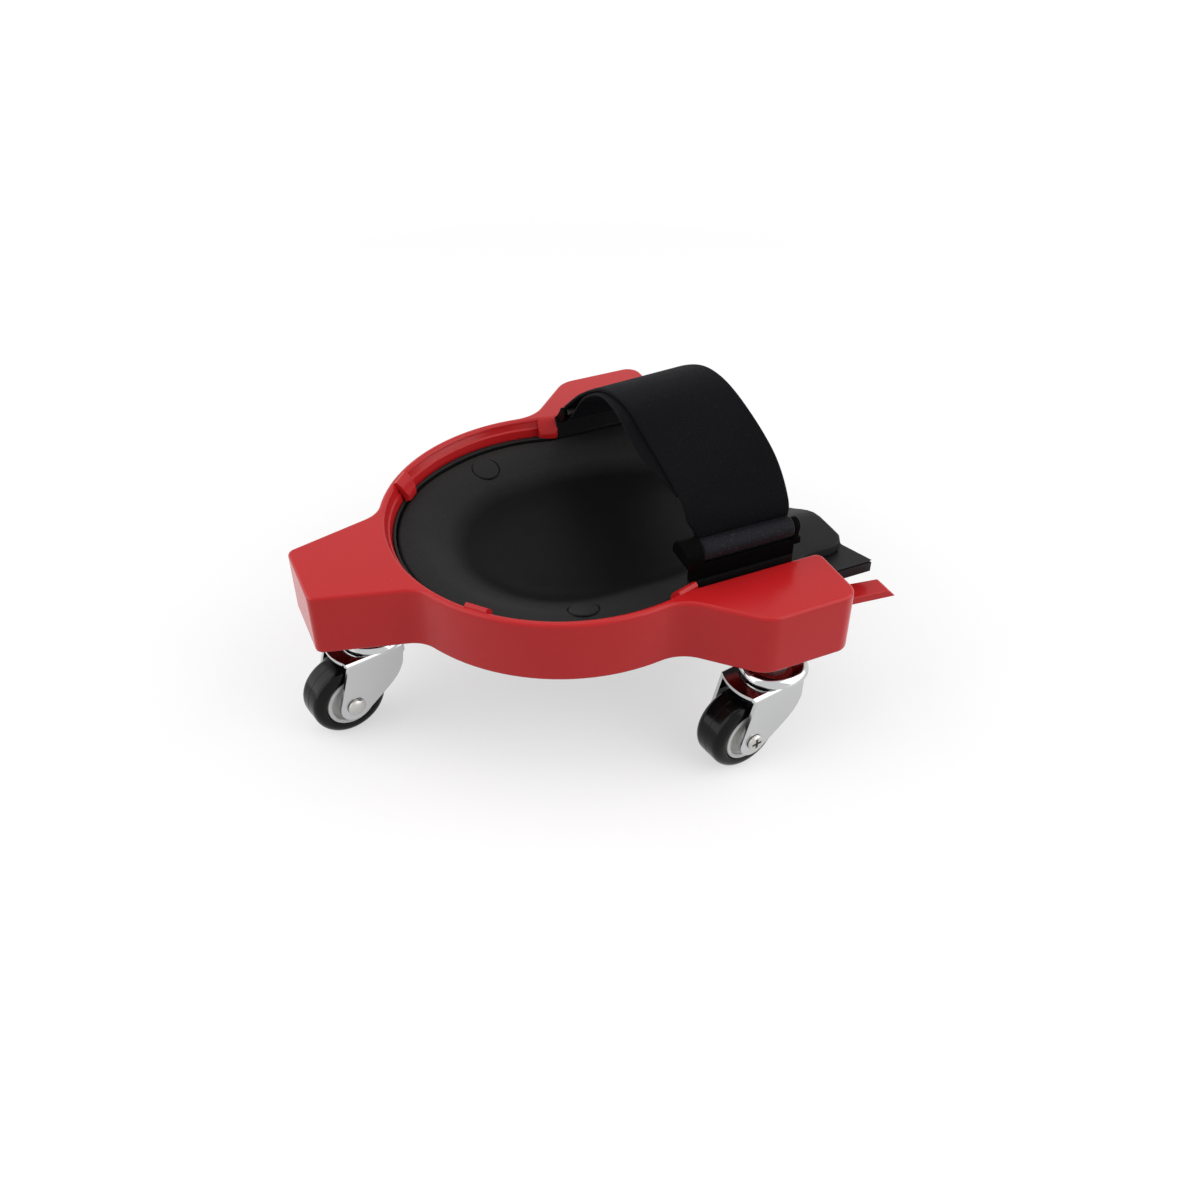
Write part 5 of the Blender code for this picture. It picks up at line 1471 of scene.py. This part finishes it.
def fork_section(low):
    """The bent sheet across the fork, legs down, as (y, z)."""
    bend = (FORK_HALF - FORK_BEND_R, CROWN_TOP - FORK_BEND_R)
    outer = [(FORK_HALF, low)] + arc(bend, FORK_BEND_R, 0, math.pi / 2, 9.0)
    inner = arc(bend, FORK_BEND_R - FORK_SHEET, math.pi / 2, 0, 9.0) + [(FORK_INSIDE, low)]
    return outer + [(-y, z) for y, z in reversed(outer)] + [(-y, z) for y, z in reversed(inner)] + inner


def fork_side(heel, high):
    """The fork from the side, as (x, z): heel, curved rear edge, round end and crown."""
    end = arc((TRAIL, WHEEL_R), FORK_END_R, *FORK_END_ARC, 5.0)
    back = [(ahead, WHEEL_R + above) for ahead, above in FORK_BACK]
    corner = math.sqrt(CROWN_LIP**2 - FORK_HALF**2)
    return [(-heel, high), (-heel, CROWN_TOP - FORK_HEEL_DROP), *smooth_curve(back + end[:1], 5), *end[1:],
            (corner - SEAT_GAP, CROWN_TOP - FORK_BEND_R + SEAT_GAP),
            (CROWN_LIP, CROWN_TOP - FORK_SHEET * 1.5), (CROWN_LIP, high)]


def fork_pressing(sizes):
    """Pressed fork: a bent sheet, trimmed to its side view and its top view, with its holes."""
    low = WHEEL_R - FORK_END_R - FORK_SHEET
    high = CROWN_TOP + FORK_SHEET
    heel = CROWN_REAR_R + FORK_SHEET
    toe = TRAIL + FORK_END_R + FORK_SHEET
    wide = FORK_HALF * 2
    sheet = moved(prism(fork_section(low), -heel, toe), ALONG_X)
    side_view = moved(prism(fork_side(heel, high), -wide, wide), ALONG_Y)
    plan = arc((0, 0), CROWN_LIP, -FORK_LIP, FORK_LIP, 4.0)
    plan += arc((0, 0), CROWN_REAR_R, FORK_REAR, math.tau - FORK_REAR, 4.0)
    legs = block((0, -wide, low - FORK_SHEET), (toe + FORK_SHEET, wide, CROWN_TOP - FORK_BEND_R))
    top_view = join(prism(plan, low - FORK_SHEET * 2, high + FORK_SHEET), legs)
    king = rod(STEM_R + SEAT_GAP, CROWN_TOP - FORK_BEND_R, high)
    axle = moved(rod(AXLE_R + SEAT_GAP, -wide, wide), Matrix.Translation((TRAIL, 0, WHEEL_R)) @ ALONG_Y)
    bm = cut(common(sheet, side_view, top_view), king, axle)
    return drop_flaps(soften(bm, sizes.sheet_round, segments=2, angle=40.0))


class CREEPER_OT_forks(bpy.types.Operator):
    """Press the three caster forks"""
    bl_idname = "creeper.forks"
    bl_label = "Caster Forks"

    def execute(self, context):
        sizes = context.scene.creeper_sizes
        for side in SIDES:
            bm = moved(fork_pressing(sizes), caster_place(side))
            piece(f"{side}_fork_pressing", bm, surface(context, "Chrome"), f"{side}_caster", f"{side}_fork",
                  crease=30.0)
        return {"FINISHED"}


def cup_profile():
    """A bearing cup's (radius, z) section: a flat land, a flared skirt and the hollow under them."""
    top = CUP_HIGH.z
    foot = CUP_LOW.z
    wall = top - CUP_ROOF
    bore = STEM_R + SEAT_GAP
    flare = smooth_curve([(CUP_FLARE_R, top), (CUP_R - wall * 1.8, top - wall * 0.35),
                          (CUP_R - wall * 0.6, top - wall * 1.1), (CUP_R - wall * 0.08, foot + wall * 0.6),
                          (CUP_R, foot + wall * 0.25)], 5)
    return [(bore, top), (CUP_LAND_R, top), *flare, (CUP_R - wall * 0.1, foot), (CUP_R - wall * 0.75, foot),
            (CUP_R - wall * 0.95, foot + wall * 0.3), (CUP_R - wall * 1.3, CUP_ROOF), (bore, CUP_ROOF)]


class CREEPER_OT_cups(bpy.types.Operator):
    """Turn the three bearing cups"""
    bl_idname = "creeper.cups"
    bl_label = "Bearing Cups"

    def execute(self, context):
        for side in SIDES:
            bm = moved(turned(cup_profile(), context.scene.creeper_sizes.turn_steps), caster_place(side))
            piece(f"{side}_cup_turning", bm, surface(context, "Chrome"), "frame", f"{side}_bearing_cup",
                  crease=50.0)
        return {"FINISHED"}


def tyre_half(sizes):
    """Half of a tyre's (radius, z) section: bead, shoulder, and tread with its mould seam."""
    inner = HUB_R + SEAT_GAP
    soft = sizes.tyre_round
    bead = [(inner, TYRE_HALF - TYRE_BEAD), (inner + TYRE_BEAD * 0.5, TYRE_HALF - TYRE_BEAD * 0.25),
            (inner + TYRE_BEAD * 1.125, TYRE_HALF)]
    shoulder = arc((WHEEL_R - soft, TYRE_HALF - soft), soft, math.pi / 2, 0, 9.0)
    return [*bead, *shoulder, (WHEEL_R, TYRE_HALF * 0.25), (WHEEL_R, TYRE_HALF * 0.03),
            (WHEEL_R - TYRE_SEAM, TYRE_HALF * 0.015)]


def hub_half():
    """Half of a hub's (radius, z) section: boss, dished web and rim."""
    boss = FORK_INSIDE - SEAT_GAP
    web = TYRE_HALF - HUB_DISH
    rim = HUB_R - HUB_RIM
    return [(HUB_BORE_R, boss), (HUB_BOSS_R - HUB_EDGE, boss), (HUB_BOSS_R, boss - HUB_EDGE),
            (HUB_BOSS_R, web + HUB_EDGE), (HUB_BOSS_R + HUB_EDGE, web), (rim - RIM_EDGE * 2, web),
            (rim, web + RIM_EDGE * 2), (rim, TYRE_HALF - RIM_EDGE), (rim + RIM_EDGE, TYRE_HALF),
            (HUB_R - RIM_EDGE, TYRE_HALF), (HUB_R, TYRE_HALF - RIM_EDGE)]


class CREEPER_OT_wheels(bpy.types.Operator):
    """Mould the three hubs and their tyres"""
    bl_idname = "creeper.wheels"
    bl_label = "Wheels"

    def execute(self, context):
        sizes = context.scene.creeper_sizes
        looks = (("tyre", tyre_half(sizes), "Tyre rubber", "black_tyre"),
                 ("hub", hub_half(), "Hub nylon", "grey_nylon"))
        for side in SIDES:
            for part, half, look, slot in looks:
                profile = half + [(r, -z) for r, z in reversed(half)]
                bm = moved(turned(profile, sizes.turn_steps * 4 // 3), axle_place(side))
                piece(f"{side}_{part}_moulding", bm, surface(context, look), f"{side}_wheel",
                      f"{side}_{part}")
        return {"FINISHED"}


def sleeve_profile():
    """An axle sleeve's (radius, z) section: a domed head and a bored shank."""
    seat = FORK_HALF + SEAT_GAP
    foot = SEAT_GAP - FORK_HALF
    angles = [math.radians(angle) for angle in range(10, 91, 10)]
    dome = [(AXLE_HEAD_R * math.sin(a), seat + AXLE_HEAD * (0.25 + 0.75 * math.cos(a))) for a in angles]
    return [(0, seat + AXLE_HEAD), *dome, (AXLE_HEAD_R, seat), (AXLE_R, seat), (AXLE_R, foot),
            (SLEEVE_BORE_R, foot), (SLEEVE_BORE_R, foot + SLEEVE_BORE), (0, foot + SLEEVE_BORE)]


def cross_screw(steps):
    """A screw with a low domed head and a cross recess."""
    seat = -FORK_HALF - SEAT_GAP
    crown = seat - SCREW_HEAD
    tip = SCREW_REACH - FORK_HALF
    profile = [(0, tip), (SCREW_R, tip), (SCREW_R, seat), (SCREW_HEAD_R, seat),
               (SCREW_HEAD_R, seat - SCREW_HEAD * 0.3), (SCREW_HEAD_R * 0.95, crown + SCREW_HEAD * 0.35),
               (SCREW_HEAD_R * 0.82, crown + SCREW_HEAD * 0.12), (SCREW_HEAD_R * 0.55, crown), (0, crown)]
    recess = [block((-x, -y, crown - CROSS_DEPTH), (x, y, crown + CROSS_DEPTH))
              for x, y in ((CROSS_ARM, CROSS_HALF), (CROSS_HALF, CROSS_ARM))]
    return cut(turned(profile, steps), join(*recess))


class CREEPER_OT_axles(bpy.types.Operator):
    """Turn the axle sleeves with their domed heads and the cross-head screws"""
    bl_idname = "creeper.axles"
    bl_label = "Axles"

    def execute(self, context):
        steps = context.scene.creeper_sizes.turn_steps * 2 // 3
        for side in SIDES:
            for part, bm in (("sleeve", turned(sleeve_profile(), steps)), ("screw", cross_screw(steps))):
                piece(f"{side}_{part}_turning", moved(bm, axle_place(side)), surface(context, "Zinc steel"),
                      f"{side}_caster", f"{side}_axle_{part}")
        return {"FINISHED"}


def bar_profile(tip):
    """A cross bar's (radius, z) section, with its ends chamfered."""
    end = STRAP_REAR_X - LUG_REAR * 0.8
    return [(0, end), (BAR_R - SEAT_GAP, end), (BAR_R, end + SEAT_GAP), (BAR_R, tip - SEAT_GAP),
            (BAR_R - SEAT_GAP, tip), (0, tip)]


def stem_nut(low, high):
    """A bored hexagon nut between two levels, with its corners chamfered."""
    corner = NUT_FLATS / 2 / math.cos(math.radians(30))
    hexagon = [polar(Vector((0, 0)), corner, 60 * i) for i in range(6)]
    chamfer = corner * NUT_CHAMFER
    dome = turned([(0, low), (corner - chamfer, low), (corner + chamfer, low + chamfer),
                   (corner + chamfer, high - chamfer), (corner - chamfer, high), (0, high)], steps=48)
    bore = rod(STEM_R + SEAT_GAP, low - RIB, high + RIB)
    return cut(common(prism(hexagon, low, high), dome), bore)


class CREEPER_OT_hardware(bpy.types.Operator):
    """Finish the stem nuts, stems, captive nuts, ball cages and strap bars"""
    bl_idname = "creeper.hardware"
    bl_label = "Hardware"

    def execute(self, context):
        material = surface(context, "Zinc steel")
        for name, side in HANDS.items():
            bm = at_ring(moved(turned(bar_profile(BAR_TIPS[side]), steps=32), bar_place(side)))
            piece(f"strap_bar_{name}_pin", bm, material, "frame", f"strap_bar_{name}")
        for side in SIDES:
            low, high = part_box(f"{side}_stem_nut")
            place = Matrix.Translation((*JOINTS[f"{side}_swivel"]["pos_m"][:2], 0))
            piece(f"{side}_stem_nut_turning", moved(stem_nut(low.z, high.z), place), material, "frame",
                  f"{side}_stem_nut", crease=25.0)
            for hidden in ("stem", "captive_nut", "ball_cage"):
                node = frame["nodes"][f"{side}_{hidden}"]
                node.data.materials.clear()
                node.data.materials.append(material)
        return {"FINISHED"}


def seen_white(tree):
    """1 for what the eye and reflections see, and 0 for the light that falls on the object."""
    seen = tree.nodes.new("ShaderNodeLightPath").outputs
    bent = calculate(tree, "MAXIMUM", seen["Is Glossy Ray"], seen["Is Transmission Ray"])
    return calculate(tree, "MAXIMUM", seen["Is Camera Ray"], bent)


def emission_floor(colours):
    """Pale floor that keeps the shadow, lifted to white for the eye and reflections, clear from below."""
    material = bpy.data.materials.new("Studio floor")
    material.use_nodes = True
    tree = material.node_tree
    shader = tree.nodes["Principled BSDF"]
    set_inputs(shader, {"Base Color": (*colours.floor, 1.0), "Roughness": 0.9, "Specular IOR Level": 0.0,
                        "Emission Color": (1, 1, 1, 1)})
    away = tree.nodes.new("ShaderNodeVectorMath")
    away.operation = "LENGTH"
    tree.links.new(object_place(tree), away.inputs[0])
    lift = map_range(tree, away.outputs["Value"], *FLOOR_FADE, FLOOR_LIFT, 1.0)
    tree.links.new(calculate(tree, "MULTIPLY", seen_white(tree), lift), shader.inputs["Emission Strength"])
    sides = tree.nodes.new("ShaderNodeMixShader")
    tree.links.new(tree.nodes.new("ShaderNodeNewGeometry").outputs["Backfacing"], sides.inputs[0])
    tree.links.new(shader.outputs[0], sides.inputs[1])
    tree.links.new(tree.nodes.new("ShaderNodeBsdfTransparent").outputs[0], sides.inputs[2])
    tree.links.new(sides.outputs[0], tree.nodes["Material Output"].inputs["Surface"])
    return material


def studio_world():
    """White to the eye and to reflections, and an even soft light."""
    world = bpy.data.worlds.new("Studio")
    world.use_nodes = True
    tree = world.node_tree
    back = tree.nodes["Background"]
    back.inputs["Color"].default_value = (1, 1, 1, 1)
    strength = map_range(tree, seen_white(tree), 0.0, 1.0, EVEN_LIGHT, 1.0)
    tree.links.new(strength, back.inputs["Strength"])
    return world


def hang(name, data, target, azimuth, elevation, distance):
    """Hangs a lamp or a camera round a target and points it there. Angles are in degrees, from -Y."""
    turn = math.radians(azimuth)
    rise = math.radians(elevation)
    away = Vector((math.sin(turn) * math.cos(rise), -math.cos(turn) * math.cos(rise), math.sin(rise)))
    made = add_object(name, data)
    made.location = target + away * distance
    made.rotation_euler = (-away).to_track_quat("-Z", "Y").to_euler()
    return made


def lamp(name, azimuth, elevation, distance, size, watts):
    """A square soft lamp that faces the creeper."""
    data = bpy.data.lights.new(name, "AREA")
    data.shape = "SQUARE"
    data.size = size
    data.energy = watts
    hang(name, data, Vector((0, 0, RIDE)), azimuth, elevation, distance)


class CREEPER_OT_stage(bpy.types.Operator):
    """Set the floor, the soft lamps and the camera"""
    bl_idname = "creeper.stage"
    bl_label = "Stage"

    def execute(self, context):
        scene = context.scene
        bm = bmesh.new()
        bmesh.ops.create_circle(bm, cap_ends=True, segments=64, radius=FLOOR_R)
        mesh = to_mesh("studio_floor", bm)
        mesh.materials.append(emission_floor(scene.creeper_colours))
        add_object("studio_floor", mesh)
        scene.world = studio_world()
        for name, values in LAMPS.items():
            lamp(name, *values)
        camera = bpy.data.cameras.new("view_camera")
        camera.lens = LENS_MM
        camera.sensor_width = SENSOR_MM
        camera.clip_start = CLIP_START
        scene.camera = hang("view_camera", camera, VIEW_TARGET, VIEW_AZIMUTH, VIEW_ELEVATION, VIEW_DISTANCE)
        scene.view_settings.view_transform = "Standard"
        return {"FINISHED"}


PIECES = (CREEPER_OT_frame, CREEPER_OT_tray, CREEPER_OT_knee_pad, CREEPER_OT_buttons, CREEPER_OT_strap,
          CREEPER_OT_forks, CREEPER_OT_cups, CREEPER_OT_wheels, CREEPER_OT_axles, CREEPER_OT_hardware,
          CREEPER_OT_stage)


class CREEPER_PT_panel(bpy.types.Panel):
    """Lists the creeper's pieces and what can be changed on them"""
    bl_idname = "CREEPER_PT_panel"
    bl_label = "Rolling Knee Creeper"
    bl_space_type = "VIEW_3D"
    bl_region_type = "UI"
    bl_category = "Creeper"

    def draw(self, context):
        for operator in PIECES:
            self.layout.operator(operator.bl_idname)
        for group in (context.scene.creeper_sizes, context.scene.creeper_colours):
            for label in group.__annotations__:
                self.layout.prop(group, label)


CLASSES = (CreeperSizes, CreeperColours, *PIECES, CREEPER_PT_panel)


def register():
    for made in CLASSES:
        bpy.utils.register_class(made)
    bpy.types.Scene.creeper_sizes = PointerProperty(type=CreeperSizes)
    bpy.types.Scene.creeper_colours = PointerProperty(type=CreeperColours)


def unregister():
    del bpy.types.Scene.creeper_colours
    del bpy.types.Scene.creeper_sizes
    for made in reversed(CLASSES):
        bpy.utils.unregister_class(made)


def main():
    register()
    for operator in PIECES:
        group, name = operator.bl_idname.split(".")
        getattr(getattr(bpy.ops, group), name)()


if __name__ == "__main__":
    main()
